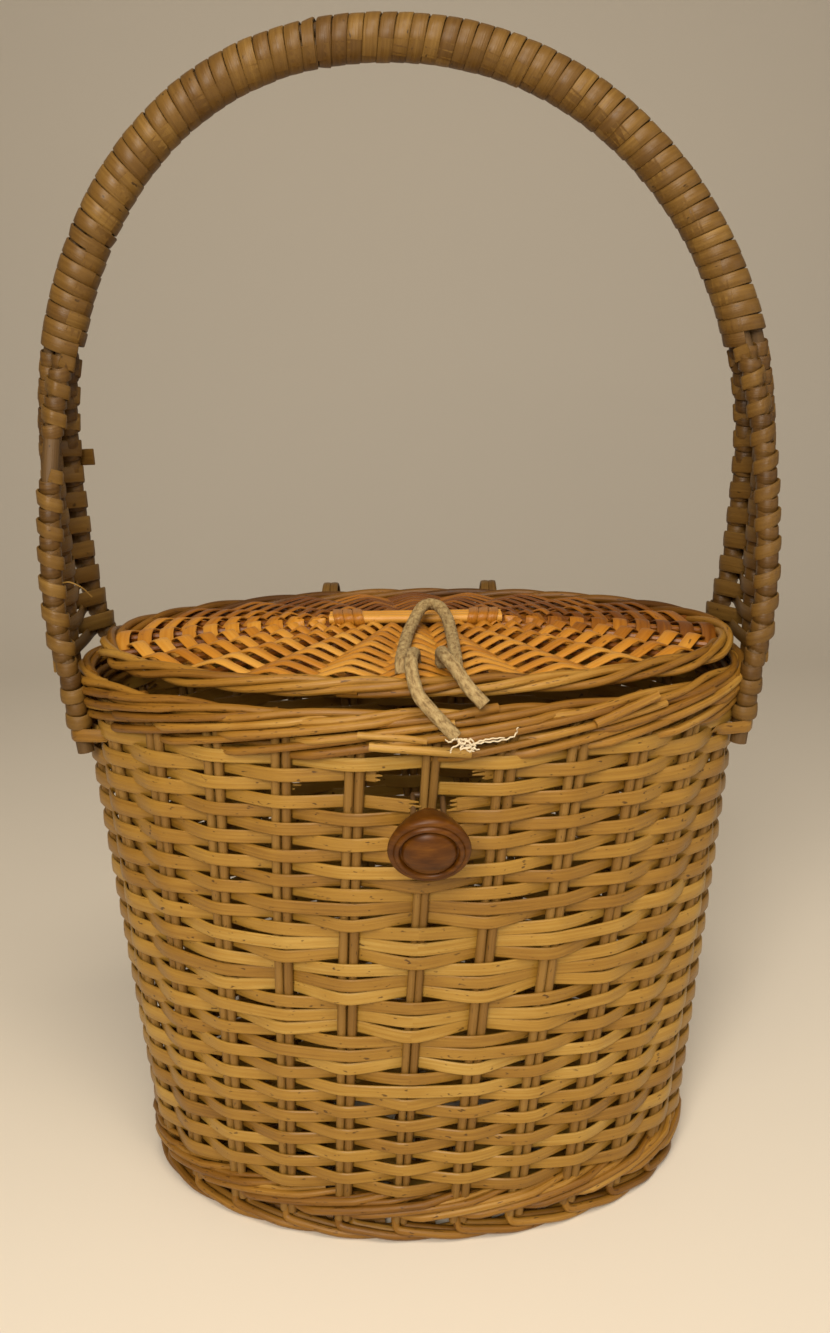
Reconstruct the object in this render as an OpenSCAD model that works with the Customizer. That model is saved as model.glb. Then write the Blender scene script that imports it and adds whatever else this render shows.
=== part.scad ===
// Oval wicker basket bag: tapered woven body, hinged woven lid, wrapped hoop handle and wooden toggle.
// Millimetres, Z up, front toward -Y, floor at Z 0, the oval centred on the Z axis.

/* [Basket body] */
// Width of the foot, along X
base_w = 215; // [205:1:225]
// Depth of the foot, along Y
base_d = 141; // [134:1:148]
// Width of the rim, along X
rim_w = 250; // [244:1:258]
// Depth of the rim, along Y
rim_d = 167; // [162:1:172]
// Height of the rim above the floor
body_h = 207; // [195:1:220]
// Stake pairs round the wall, an even number
stake_n = 26; // [24:2:28]
// Diameter of one stake rod
stake_d = 3.5; // [3.2:0.1:3.8]
// Arc from the middle of the front to the front stake pair, at the rim
stake_shift = 7.4; // [5:0.2:9]
// Arc by which a stake leans between foot and rim
stake_lean = 16; // [8:1:20]
// Rows of flat strip up the wall
wall_rows = 36; // [34:2:38]
// Thickness of the flat weaving strip
strip_t = 1.1; // [0.9:0.1:1.3]
// Height of the two twined rounds above the foot
base_wale_h = 12; // [10:0.5:14]
// Height of the two twined rounds below the rim border
rim_wale_h = 8.6; // [7.5:0.1:9.5]

/* [Borders] */
// Radius of the foot border
foot_r = 5.6; // [5:0.1:6]
// Radius of the rim border
rim_r = 3.6; // [3.2:0.1:3.8]
// Radius of the lid border
lid_r = 4; // [3.6:0.1:4.2]

/* [Lid] */
// Width of the lid, along X
lid_w = 237; // [233:1:239]
// Depth of the lid, along Y
lid_d = 155; // [152:1:157]
// Sideways place of the lid on the rim
lid_shift = 2; // [0:0.5:2.5]
// Gap between rim and lid border
lid_gap = 1; // [0.6:0.1:1.6]
// Rise of the lid in the middle
lid_dome = 4.5; // [3:0.5:6]
// Thickness of the lid weave
lid_t = 3.4; // [3:0.1:3.8]
// Radial stakes in the lid, an even number
lid_n = 24; // [20:2:28]
// Woven rounds in the lid
lid_rows = 12; // [10:1:14]
// Length of the bars in the middle of the lid
spine_len = 64; // [50:1:80]
// Distance between the two hinge loops
hinge_span = 69; // [50:1:90]
// Width of one hinge loop
loop_w = 7; // [5:0.5:9]

/* [Handle] */
// Height of the top of the hoop above the floor
handle_h = 424; // [400:2:450]
// Width of the hoop between the rod bundle centres
hoop_w = 254; // [252:1:262]
// Height of the widest part of the hoop above the rim
hoop_low = 58; // [54:1:62]
// Height of the wrapped bundle's ends above the widest part
bundle_up = 53; // [48:1:58]
// Length of the legs below the rim
leg_drop = 29; // [25:1:32]
// Sideways sag of the top of the hoop
hoop_lean = 7; // [0:1:10]
// Distance of the front and rear legs at the rim, along Y
leg_span = 60; // [50:1:66]
// Diameter of one handle rod
rod_d = 6; // [5.4:0.1:6.4]
// Thickness of the wrapping strip on the hoop
wrap_t = 0.8; // [0.6:0.1:1.2]
// Woven rows in each gusset
gusset_rows = 14; // [10:1:15]

/* [Toggle] */
// Diameter of the knob at its edge
knob_d = 26; // [22:0.5:30]
// Length of the knob body
knob_len = 15; // [12:0.5:18]
// Angle by which the knob hangs down
knob_droop = 22; // [10:1:30]
// Diameter of the tie
tie_d = 1.8; // [1.4:0.1:2]

/* [Cord] */
// Diameter of the braided cord
cord_d = 5.2; // [4.4:0.1:5.4]

/* [Hidden] */

// Clearance between pieces that lie on each other
fit = 0.15;
// Clearance beside the hinge loops
swing_gap = 0.4;
// Radial clearance of the tie in the knob
pin_gap = 0.06;
// Half of a stake pair across
pair_half = stake_d + 0.1;
stake_r = stake_d / 2;
rod_r = rod_d / 2;
cord_r = cord_d / 2;

// Part of the foot radius that stands above the floor line
foot_seat = 0.54;
foot_top = foot_r * (1 + foot_seat);
core_z0 = foot_top + fit;
weave_z0 = core_z0 + base_wale_h;
core_z1 = body_h - 2 * rim_r - fit;
weave_z1 = core_z1 - rim_wale_h;
row_h = (weave_z1 - weave_z0) / wall_rows;
// Bevel at the upper and lower edge of a strip
lip = 0.3;
// Outside of the wall core where the twined rounds sit
wale_seat = -0.4 * stake_r;
skin_in = -(stake_r + strip_t);
skin_out = stake_r + strip_t;

// Half axes of the stake circle at the floor and at the rim
foot_mid = [base_w / 2 - 4, base_d / 2 - 4];
rim_mid = [rim_w / 2 - rim_r, rim_d / 2 - rim_r];
function mid(z) = foot_mid + (rim_mid - foot_mid) * z / body_h;

// Places round an oval by share of its length, from the middle of the front toward +X
arc_steps = 180;
function oval_pt(h, t) = [h[0] * sin(t), -h[1] * cos(t)];
arc_table = [for (i = 0, s = 0; i <= arc_steps;
  s = s + norm(oval_pt(rim_mid, (i + 1) * 360 / arc_steps) - oval_pt(rim_mid, i * 360 / arc_steps)),
  i = i + 1) [s, i * 360 / arc_steps]];
rim_len = arc_table[arc_steps][0];
function arc_angle(f) = lookup((f - floor(f)) * rim_len, arc_table);
function on_oval(h, f, z) = let (p = oval_pt(h, arc_angle(f))) [p[0], p[1], z];
function out_dir(h, f) = let (t = arc_angle(f), v = [sin(t) / h[0], -cos(t) / h[1]]) v / norm(v);
function oval_x(h, y) = h[0] * sqrt(1 - (y / h[1]) * (y / h[1]));
function stake_f(k, z) = k / stake_n + (stake_shift - stake_lean * (1 - z / body_h)) / rim_len;
function side_of(j) = j <= stake_n / 2 ? j : j - stake_n;

// Closed skin over rings of points, joined end to end or closed by two caps
function band_faces(i0, i1, n) = [for (j = [0:n - 1])
  let (a = i0 * n + j, b = i0 * n + (j + 1) % n, c = i1 * n + (j + 1) % n, d = i1 * n + j)
  each [[a, d, c], [a, c, b]]];
module skin(rings, looped) {
  n = len(rings[0]);
  m = len(rings);
  bands = [for (i = [0:m - (looped ? 1 : 2)]) each band_faces(i, (i + 1) % m, n)];
  caps = [[for (j = [0:n - 1]) j], [for (j = [n - 1:-1:0]) (m - 1) * n + j]];
  faces = looped ? bands : concat(bands, caps);
  polyhedron(points = [for (r = rings) each r], faces = faces, convexity = 8);
}

// Tube along a path, with a reference direction that is never along the path
function path_dir(p, i) = let (v = p[min(i + 1, len(p) - 1)] - p[max(i - 1, 0)]) v / norm(v);
function tube_rings(p, r, sides, ref) = [for (i = [0:len(p) - 1])
  let (d = path_dir(p, i), u = ref - (ref * d) * d, e1 = u / norm(u), e2 = cross(d, e1))
  [for (j = [0:sides - 1]) p[i] + r * (cos(360 * j / sides) * e1 + sin(360 * j / sides) * e2)]];
module tube(p, r, sides, ref) {
  skin(tube_rings(p, r, sides, ref), false);
}

// Two-strand rope round an oval, flat where it meets the floor
border_steps = 40;
border_twists = 10;
rope_sides = 6;
rope_top = sin(60);
strand = 0.22;
function rope_rings(h, f0, z, half_w, half_h, steps, twists) = [for (i = [0:steps - 1])
  let (f = f0 + i / steps, c = on_oval(h, f, z), o = out_dir(h, f), turn = 180 * twists * i / steps)
  [for (j = [0:rope_sides - 1])
    let (q = -360 * j / rope_sides, k = (1 + strand * cos(2 * (q - turn))) / (1 + strand))
    [c[0] + half_w * k * cos(q) * o[0], c[1] + half_w * k * cos(q) * o[1],
      max(0, z + half_h * k * sin(q) / rope_top)]]];
module rope(h, f0, z, half_w, half_h, steps, twists) {
  skin(rope_rings(h, f0, z, half_w, half_h, steps, twists), true);
}

// Two twined rounds lying on the wall core
module twined_rounds(z0, zone_h, half_w) {
  half_h = zone_h / 4 - fit;
  for (i = [0, 1]) {
    z = z0 + zone_h * (1 + 2 * i) / 4;
    reach = wale_seat + fit + half_w;
    rope(mid(z) + [reach, reach], stake_f(0, z), z, half_w, half_h, stake_n, stake_n / 2);
  }
}

// Front diamond: bands of three strips, where the middle strip changes its place
diamond_row = 8;
diamond_bands = 7;
diamond_mid = (diamond_bands - 1) / 2;
function in_diamond(r, k) = let (b = floor((r - diamond_row) / 3), i = (r - diamond_row) % 3)
  b >= 0 && b < diamond_bands && i == 1 && abs(k) <= diamond_mid - abs(b - diamond_mid);
// Rows of the three snapped strips, counted from the top
snapped = [wall_rows - 2, wall_rows - 3, wall_rows - 4];
function bare(r, k) = (r == snapped[0] && k == 0) || (r == snapped[1] && k == -1)
  || (r == snapped[2] && k == 0);
function weave_side(r, k) = bare(r, k) ? 0 : ((r + abs(k)) % 2 == 0) != in_diamond(r, k) ? 1 : -1;

// Wall levels as height, row and offset of a bare level
wall_levels = concat(
  [[core_z0, -1, wale_seat], [weave_z0, -1, wale_seat]],
  [for (r = [0:wall_rows - 1])
    each [[weave_z0 + r * row_h + lip, r, 0], [weave_z0 + (r + 1) * row_h - lip, r, 0]]],
  [[weave_z1, -1, wale_seat], [core_z1, -1, wale_seat], [core_z1, -1, skin_in], [core_z0, -1, skin_in]]);
function level_off(lv, k) = lv[1] < 0 ? lv[2] : stake_r + weave_side(lv[1], k) * strip_t;
function wall_ring(lv) = [for (j = [0:stake_n - 1])
  let (o = level_off(lv, side_of(j))) on_oval(mid(lv[0]) + [o, o], stake_f(j, lv[0]), lv[0])];

// Frame on the wall: X outward, Y along the wall, Z up
module on_wall(f, z) {
  o = out_dir(mid(z), f);
  translate(on_oval(mid(z), f, z)) rotate([0, 0, atan2(o[1], o[0])]) children();
}

// Small three-cornered openings between the stakes, in every few rows
gap_rows = [4, 14, 24];
gap_w = 9;
gap_h = row_h - 4 * lip;
wall_cut = 4 * skin_out;
module weave_gap(k, row) {
  z = weave_z0 + (row + 0.5) * row_h;
  on_wall(stake_f(k + 0.5, z), z) rotate([90, 0, 90]) hull() linear_extrude(wall_cut, center = true)
    polygon([[-gap_w / 2, -gap_h / 2], [gap_w / 2, -gap_h / 2], [0, gap_h / 2]]);
}

// Windows left by the snapped strips: row, and ends as shares of the stake spacing
bar_f = pair_half * stake_n / rim_len;
windows = [[snapped[0], -0.7, -bar_f], [snapped[0], bar_f, 0.74],
  [snapped[1], -1.8, -1 - bar_f], [snapped[1], bar_f - 1, -bar_f],
  [snapped[2], -0.3, -bar_f], [snapped[2], bar_f, 0.37]];
module window(w) {
  z = weave_z0 + (w[0] + 0.5) * row_h;
  f = stake_f((w[1] + w[2]) / 2, z);
  on_wall(f, z) cube([wall_cut, (w[2] - w[1]) * rim_len / stake_n, row_h + 2 * fit], center = true);
}

// Hinge line along X on the crest of the back rim
hinge_y = rim_mid[1];
hinge_z = body_h + 0.2;
loop_in = 8.9;
loop_t = 1.3;
module loop_ring(side, gap) {
  translate([side * hinge_span / 2, hinge_y, hinge_z]) rotate([0, 90, 0]) rotate_extrude($fn = 48)
    translate([loop_in - gap, -loop_w / 2 - gap]) square([loop_t + 2 * gap, loop_w + 2 * gap]);
}
module hinge_room() {
  for (s = [-1, 1]) loop_ring(s, swing_gap);
}

// Plain woven oval: flat below, ribs above, columns at the given shares of the outline
function panel_rise(q, dome) = dome * (1 - q * q);
function panel_ring(h, fs, q, z, rib) = [for (j = [0:len(fs) - 1])
  on_oval(h * q, fs[j], z + (j % 2 == 0 ? rib : -rib))];
module woven_panel(h, fs, rows, z0, thick, dome, rib, shift) {
  q0 = panel_flat;
  qs = [for (r = [0:rows]) q0 + (1 - q0) * r / rows];
  below = [for (q = [q0, (1 + q0) / 2, 1]) panel_ring(h, fs, q, z0 + panel_rise(q, dome), 0)];
  edge = [panel_ring(h, fs, 1, z0 + thick - rib, 0)];
  above = [for (r = [rows - 1:-1:1]) let (z = z0 + thick - rib + panel_rise(qs[r], dome))
    panel_ring(h, fs, qs[r], z, r % 2 == 0 ? rib : -rib)];
  middle = [panel_ring(h, fs, q0, z0 + thick - rib + panel_rise(q0, dome), 0)];
  translate([shift, 0, 0]) skin(concat(below, edge, above, middle), false);
}

// Base
base_z0 = core_z0;
base_t = 4;
base_rows = 5;
base_rib = 0.4;
base_out = skin_in - 2 * fit;
base_panel_half = mid(base_z0) + [base_out, base_out];

// Lid heights
lid_z = body_h + lid_gap + lid_r;
lid_half = [lid_w / 2 - lid_r, lid_d / 2 - lid_r];
lid_rib = 1.1;
// Room for the flats of the border inside
lid_room = 0.5;
lid_panel_half = lid_half - [lid_r + lid_room, lid_r + lid_room];
// Share of the lid that is flat in the middle
panel_flat = 0.3;
lid_top = lid_z + lid_t / 2 - lid_rib + panel_rise(panel_flat, lid_dome);

// Middle bars of the lid and their end wraps
spine_d = 3.5;
spine_wrap = 8;
spine_z = lid_top + fit + (spine_d + strip_t) / 2;

// Hoop of the handle
hoop_half = hoop_w / 2;
hoop_mid = body_h + hoop_low;
bundle_r = rod_r + 0.05;
bundle = [[-bundle_r / sqrt(3), -bundle_r], [2 * bundle_r / sqrt(3), 0], [-bundle_r / sqrt(3), bundle_r]];
// Inside of the wrap, clear of the flats of its ten sides
wrap_sides = 10;
wrap_in = (2 * bundle_r / sqrt(3) + rod_r + 0.05) / cos(180 / wrap_sides);
hoop_rise = handle_h - hoop_mid - wrap_in - wrap_t;
hoop_pow = 2.15;
split_z = hoop_mid + bundle_up;
split_h = (split_z - hoop_mid) / hoop_rise;
split_t = acos(pow(split_h, hoop_pow / 2));
hoop_steps = 20;
leg_end_z = body_h - leg_drop;
leg_gap = 0.35;
leg_y = [-leg_span / 2, 0, leg_span / 2];
function hoop_x(z) = z <= hoop_mid ? hoop_half
  : hoop_half * pow(1 - pow((z - hoop_mid) / hoop_rise, hoop_pow), 1 / hoop_pow);
function hoop_sag(z) = z <= hoop_mid ? 0 : -hoop_lean * pow((z - hoop_mid) / hoop_rise, 2);
function hoop_out(x, z) = let (v = [pow(abs(x) / hoop_half, hoop_pow - 1) / hoop_half * sign(x), 0,
  z <= hoop_mid ? 0 : pow((z - hoop_mid) / hoop_rise, hoop_pow - 1) / hoop_rise]) v / norm(v);
function hoop_pt(t) = [hoop_half * sign(t) * pow(abs(sin(t)), 2 / hoop_pow), 0,
  hoop_mid + hoop_rise * pow(cos(t), 2 / hoop_pow)];
hoop_turns = [for (i = [0:hoop_steps]) split_t * (2 * i / hoop_steps - 1)];
function sagged(p) = p + [hoop_sag(p[2]), 0, 0];
function arch_pt(t, o) = let (p = hoop_pt(t)) sagged(p) + o[0] * hoop_out(p[0], p[2]) + [0, o[1], 0];

// Legs: rods leave the bundle, fan out to the rim and lie against the wall below it
function leg_spread(z) = min(1, max(0, (split_z - z) / (split_z - body_h)));
leg_reach = rod_r + leg_gap;
function leg_on_rim(y) = oval_x([rim_w / 2 + leg_reach, rim_d / 2 + leg_reach], y);
function leg_on_wall(y) = oval_x(mid(leg_end_z) + (skin_out + leg_reach) * [1, 1], y);
function leg_pull(z) = pow(min(1, max(0, (hoop_mid - z) / (hoop_mid - body_h))), 2);
function leg_pt(side, i, z) = let (s = leg_spread(z), w = leg_pull(z), o = bundle[i],
    y = o[1] * (1 - s) + leg_y[i] * s,
    x = z >= body_h ? hoop_x(z) * (1 - w) + leg_on_rim(y) * w
      : leg_on_rim(y) + (leg_on_wall(y) - leg_on_rim(y)) * (body_h - z) / (body_h - leg_end_z))
  sagged([side * x, y, z]) + o[0] * (1 - s) * hoop_out(side * x, z);
// Levels at which a leg bends, as shares of the way from rim to hoop and from hoop to bundle
leg_levels = concat([leg_end_z], [for (s = [0, 0.31, 0.655, 1]) body_h + s * hoop_low],
  [for (s = [0.38, 0.755]) hoop_mid + s * bundle_up]);
function rod_path(i) = concat([for (z = leg_levels) leg_pt(-1, i, z)],
  [for (t = hoop_turns) arch_pt(t, bundle[i])],
  [for (j = [len(leg_levels) - 1:-1:0]) leg_pt(1, i, leg_levels[j])]);
rod_sides = 8;
module handle_rod(i) {
  tube(rod_path(i), rod_r, rod_sides, [0, 1, 0]);
}

// Place of a rod in a leg by straight pieces between the leg levels, as the rods are built
leg_marks = concat(leg_levels, [split_z]);
function leg_step(z) = max([for (j = [0:len(leg_marks) - 2]) leg_marks[j] <= z ? j : 0]);
function leg_at(side, i, z) = let (j = leg_step(z), a = leg_pt(side, i, leg_marks[j]),
    b = leg_pt(side, i, leg_marks[j + 1]))
  a + (b - a) * (z - leg_marks[j]) / (leg_marks[j + 1] - leg_marks[j]);

// Gusset strips between the legs, and the turns round the outer legs that join them
gusset_z0 = body_h + 1.5;
gusset_z1 = hoop_mid + 0.36 * bundle_up;
gusset_pitch = (gusset_z1 - gusset_z0) / gusset_rows;
gusset_gap = 0.7;
gusset_h = gusset_pitch - 0.8;
gusset_c = rod_r + gusset_gap + strip_t / 2;
function unit(v) = v / norm(v);
function corner_off(p, i, w) = let (a = i == 0 ? unit(p[1] - p[0]) : unit(p[i] - p[i - 1]),
    b = i == len(p) - 1 ? a : unit(p[i + 1] - p[i]), n = unit([-a[1] - b[1], a[0] + b[0]]))
  p[i] + n * w / (n * [-a[1], a[0]]);
module strip_outline(p, w) {
  polygon(concat([for (i = [0:len(p) - 1]) corner_off(p, i, w / 2)],
    [for (i = [len(p) - 1:-1:0]) corner_off(p, i, -w / 2)]));
}
function flat(p) = [p[0], p[1]];
function row_path(side, z, way) = let (a = flat(leg_at(side, 0, z)), m = flat(leg_at(side, 1, z)),
    b = flat(leg_at(side, 2, z)), x = way * gusset_c, c = gusset_c)
  [a + [x, -0.2 * c], a + [x, 0.7 * c], m + [-x, -0.7 * c], m + [-x, 0.7 * c],
    b + [x, -0.7 * c], b + [x, 0.2 * c]];
// Channel round an outer leg, open toward the middle leg
turn_span = 105;
turn_steps = 4;
function turn_ring(side, i, z) = let (p = leg_at(side, i, z), face = i == 0 ? -90 : 90,
    c = gusset_c, t = strip_t / 2)
  concat([for (j = [0:turn_steps]) let (q = face - turn_span + 2 * turn_span * j / turn_steps)
      p + (c + t) * [cos(q), sin(q), 0]],
    [for (j = [turn_steps:-1:0]) let (q = face - turn_span + 2 * turn_span * j / turn_steps)
      p + (c - t) * [cos(q), sin(q), 0]]);
turn_levels = [gusset_z0, leg_levels[2], leg_levels[3], hoop_mid, gusset_z1 - gusset_pitch + gusset_h];
// Belts round all three rods between the gusset and the wrapped hoop
belt_n = 4;
belt_pitch = (split_z - gusset_z1) / belt_n;
belt_h = belt_pitch / 2;
// Room for the slope of the rods inside a belt
belt_gap = 1.1;
belt_sides = 8;
module rods_outline(side, z, r) {
  hull() for (i = [0:2]) translate(flat(leg_at(side, i, z))) circle(r = r, $fn = belt_sides);
}
module belt(side, z) {
  translate([0, 0, z]) linear_extrude(belt_h) difference() {
    rods_outline(side, z + belt_h / 2, rod_r + belt_gap + strip_t);
    rods_outline(side, z + belt_h / 2, rod_r + belt_gap);
  }
}
module gusset(side) {
  for (i = [0:belt_n - 1]) belt(side, gusset_z1 + i * belt_pitch);
  for (i = [0, 2]) skin([for (z = turn_levels) turn_ring(side, i, z)], false);
  for (r = [0:gusset_rows - 1]) {
    z = gusset_z0 + r * gusset_pitch;
    translate([0, 0, z]) linear_extrude(gusset_h)
      strip_outline(row_path(side, z + gusset_h / 2, r % 2 == 0 ? 1 : -1), strip_t);
  }
}

// Wrap of the hoop with a ridge at every second station
wrap_ridge = 0.35;
function wrap_ring(t, r) = let (c = arch_pt(t, [0, 0]), p = hoop_pt(t), n = hoop_out(p[0], p[2]))
  [for (j = [0:wrap_sides - 1]) let (q = 360 * j / wrap_sides) c + r * (cos(q) * n - [0, sin(q), 0])];
wrap_last = hoop_steps - 1;
wrap_rings = concat(
  [for (i = [1:wrap_last]) wrap_ring(hoop_turns[i], wrap_in + wrap_t - (i % 2 == 0 ? 0 : wrap_ridge))],
  [for (i = [wrap_last:-1:1]) wrap_ring(hoop_turns[i], wrap_in)]);

// Toggle: pin across the neck, the tie runs back round the bare front stake pair
tie_r = tie_d / 2;
tie_z = weave_z0 + (snapped[2] + 0.5) * row_h;
tie_spot = on_oval(mid(tie_z), stake_f(0, tie_z), tie_z);
tie_reach = 7.6;
tie_back = (skin_out + tie_r + 0.3) / cos(knob_droop);
tie_half = pair_half + tie_r + 0.3;
neck_r = tie_half - tie_r - 0.3;
neck_back = 2.4;
neck_len = 5;
module at_pin() {
  translate(tie_spot) rotate([90 + knob_droop, 0, 0]) translate([0, 0, tie_reach]) children();
}
module bar_x(len, d) {
  rotate([0, 90, 0]) cylinder(h = len, d = d, center = true, $fn = 24);
}
knob_r = knob_d / 2;
knob_back_r = 0.6 * knob_r;
face_r = 0.75 * knob_r;
groove_r = 0.67 * knob_r;
knob_z0 = neck_len - neck_back;
knob_profile = [[0, -neck_back], [neck_r, -neck_back], [neck_r, knob_z0], [knob_back_r, knob_z0],
  [0.97 * knob_r, knob_z0 + 0.62 * knob_len], [knob_r, knob_z0 + 0.7 * knob_len],
  [0.95 * knob_r, knob_z0 + 0.8 * knob_len], [face_r, knob_z0 + 0.86 * knob_len],
  [face_r, knob_z0 + 0.72 * knob_len], [groove_r, knob_z0 + 0.72 * knob_len],
  [groove_r, knob_z0 + 0.88 * knob_len], [0.35 * knob_r, knob_z0 + knob_len], [0, knob_z0 + knob_len]];

// Cord routes: X, distance behind the front edge of the lid, height above the rim
cord_sides = 6;
function cord_pt(p) = [p[0], p[1] - lid_d / 2, p[2] + body_h];
left_route = [for (p = [[1.3, 20.5, 7], [1, 17.5, 11.5], [0.3, 10.5, 12.6], [0, 4.5, 12.3],
  [0.3, -1.5, 9.6], [2, -6.1, 4.6], [5.5, -8.7, 0.5], [9.5, -10.1, -3.7], [13.5, -10.9, -8]]) cord_pt(p)];
right_route = [for (p = [[10, 21.5, 7], [10, 18, 11.6], [10.5, 11.5, 12.7], [11.5, 5, 12.8],
  [14, -0.5, 10.9], [17.5, -5, 6.4], [22.5, -7.5, 1.2]]) cord_pt(p)];
arch_route = [for (p = [[-5.3, 12, 6.3], [-5.4, 13.6, 9.6], [-5, 21.5, 10.5], [-4, 32.5, 11.6],
  [-2.4, 47.5, 12.8], [0.8, 62, 15.2], [4, 71, 17.6], [8, 76, 17.8], [12, 71, 17.6],
  [15, 62, 15.2], [16.2, 46.5, 12.8],
  [16.6, 32.5, 11.6], [16.8, 20.5, 10.5], [16.8, 13.6, 9.6], [16.6, 12, 6.3]]) cord_pt(p)];

// Woven oval that closes the body at the foot
module base_panel() {
  color("tan") woven_panel(base_panel_half, [for (j = [0:stake_n - 1]) stake_f(j, base_z0)],
    base_rows, base_z0, base_t, 0, base_rib, 0);
}

// Rope of rods that stands on the floor
module foot_border() {
  color("sienna") rope([base_w / 2 - foot_r, base_d / 2 - foot_r], stake_f(0, 0), foot_r * foot_seat,
    foot_r, foot_r, border_steps, border_twists);
}

// Two twined rounds above the foot
module base_wale() {
  color("peru") twined_rounds(core_z0, base_wale_h, 1.9);
}

// Stakes and flat strips of the wall, with the front diamond, the gaps and the snapped strips
module wall_weave() {
  color("burlywood") difference() {
    skin([for (lv = wall_levels) wall_ring(lv)], true);
    for (r = gap_rows, j = [0:stake_n - 1]) weave_gap(j, r);
    for (w = windows) window(w);
    hinge_room();
  }
}

// Two twined rounds below the rim border
module rim_wale() {
  color("peru") difference() {
    twined_rounds(weave_z1, rim_wale_h, 1.7);
    hinge_room();
  }
}

// Rope of rods along the top edge
module rim_border() {
  color("sienna") difference() {
    rope(rim_mid, stake_f(0, body_h), body_h - rim_r, rim_r, rim_r, border_steps, border_twists);
    hinge_room();
  }
}

// Handle rod that ends in the two front legs
module handle_front_rod() {
  color("saddlebrown") handle_rod(0);
}

// Handle rod that ends in the two middle legs
module handle_middle_rod() {
  color("saddlebrown") handle_rod(1);
}

// Handle rod that ends in the two rear legs
module handle_rear_rod() {
  color("saddlebrown") handle_rod(2);
}

// Flat strip wound round the three rods of the hoop
module handle_wrap() {
  color("peru") skin(wrap_rings, true);
}

// Strips woven between the three legs on the left
module left_gusset() {
  color("burlywood") gusset(-1);
}

// Strips woven between the three legs on the right
module right_gusset() {
  color("burlywood") gusset(1);
}

// Tie from the front stake pair to the knob
module toggle_tie() {
  color("tan") at_pin() {
    bar_x(2 * tie_half, tie_d);
    translate([0, 0, -tie_reach - tie_back]) bar_x(2 * tie_half, tie_d);
    for (s = [-1, 1]) translate([s * tie_half, 0, 0]) {
      translate([0, 0, -tie_reach - tie_back]) cylinder(h = tie_reach + tie_back, d = tie_d, $fn = 24);
      sphere(d = tie_d, $fn = 24);
      translate([0, 0, -tie_reach - tie_back]) sphere(d = tie_d, $fn = 24);
    }
  }
}

// Turned wooden knob with a grooved face
module toggle_knob() {
  color("chocolate") at_pin() difference() {
    rotate_extrude($fn = 64) polygon(knob_profile);
    bar_x(knob_d, tie_d + 2 * pin_gap);
  }
}

// Woven oval of the lid
module lid_panel() {
  color("burlywood") woven_panel(lid_panel_half, [for (j = [0:lid_n - 1]) j / lid_n],
    lid_rows, lid_z - lid_t / 2, lid_t, lid_dome, lid_rib, lid_shift);
}

// Rope of rods round the lid
module lid_border() {
  color("sienna") difference() {
    translate([lid_shift, 0, 0]) rope(lid_half, 0, lid_z, lid_r, lid_r, border_steps, border_twists);
    for (s = [-1, 1]) loop_ring(s, fit / 3);
  }
}

// Three bars in the middle of the lid with a wrap at each end
module lid_spine() {
  color("peru") translate([lid_shift, 0, spine_z]) {
    for (i = [-1, 0, 1]) translate([0, i * spine_d, 0]) bar_x(spine_len, spine_d + 0.05);
    for (s = [-1, 1]) translate([s * (spine_len - spine_wrap) / 2, 0, 0])
      cube([spine_wrap, 3 * spine_d + 2 * strip_t, spine_d + strip_t], center = true);
  }
}

// Cane loop of the hinge on the left
module left_hinge_loop() {
  color("wheat") loop_ring(-1, 0);
}

// Cane loop of the hinge on the right
module right_hinge_loop() {
  color("wheat") loop_ring(1, 0);
}

// Frayed end of the torn cord
module loop_left_end() {
  color("khaki") tube(left_route, cord_r, cord_sides, [1, 0, 0]);
}

// Blunt end of the torn cord
module loop_right_end() {
  color("khaki") tube(right_route, cord_r, cord_sides, [1, 0, 0]);
}

// Part of the cord that lies back on the lid
module loop_arch() {
  color("khaki") tube(arch_route, cord_r, cord_sides, [0, 0, 1]);
}

base_panel();
foot_border();
base_wale();
wall_weave();
rim_wale();
rim_border();
handle_front_rod();
handle_middle_rod();
handle_rear_rod();
handle_wrap();
left_gusset();
right_gusset();
toggle_tie();
toggle_knob();
lid_panel();
lid_border();
lid_spine();
left_hinge_loop();
right_hinge_loop();
loop_left_end();
loop_right_end();
loop_arch();
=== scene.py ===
import bpy
import math
import numpy as np
from mathutils import Matrix, Vector


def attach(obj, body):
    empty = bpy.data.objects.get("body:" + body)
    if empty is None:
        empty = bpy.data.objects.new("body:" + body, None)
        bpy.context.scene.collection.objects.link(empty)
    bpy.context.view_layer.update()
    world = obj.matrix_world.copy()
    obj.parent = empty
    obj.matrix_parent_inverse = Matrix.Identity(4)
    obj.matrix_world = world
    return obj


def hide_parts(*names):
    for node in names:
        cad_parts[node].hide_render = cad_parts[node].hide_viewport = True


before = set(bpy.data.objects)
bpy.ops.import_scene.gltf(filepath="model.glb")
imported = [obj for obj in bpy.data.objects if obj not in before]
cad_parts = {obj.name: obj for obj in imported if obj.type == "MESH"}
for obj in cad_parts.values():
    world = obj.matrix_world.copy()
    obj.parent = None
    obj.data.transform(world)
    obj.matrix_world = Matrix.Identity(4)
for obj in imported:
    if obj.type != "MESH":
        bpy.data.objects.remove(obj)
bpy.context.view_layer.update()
bpy.ops.object.select_all(action="DESELECT")
scene = bpy.context.scene
scene.view_settings.view_transform = "Standard"
rng = np.random.default_rng(11)  # one seeded source for every small irregularity
mm = 0.001
fullTurn = 2 * math.pi
up = np.array([0, 0, 1.0])

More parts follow.
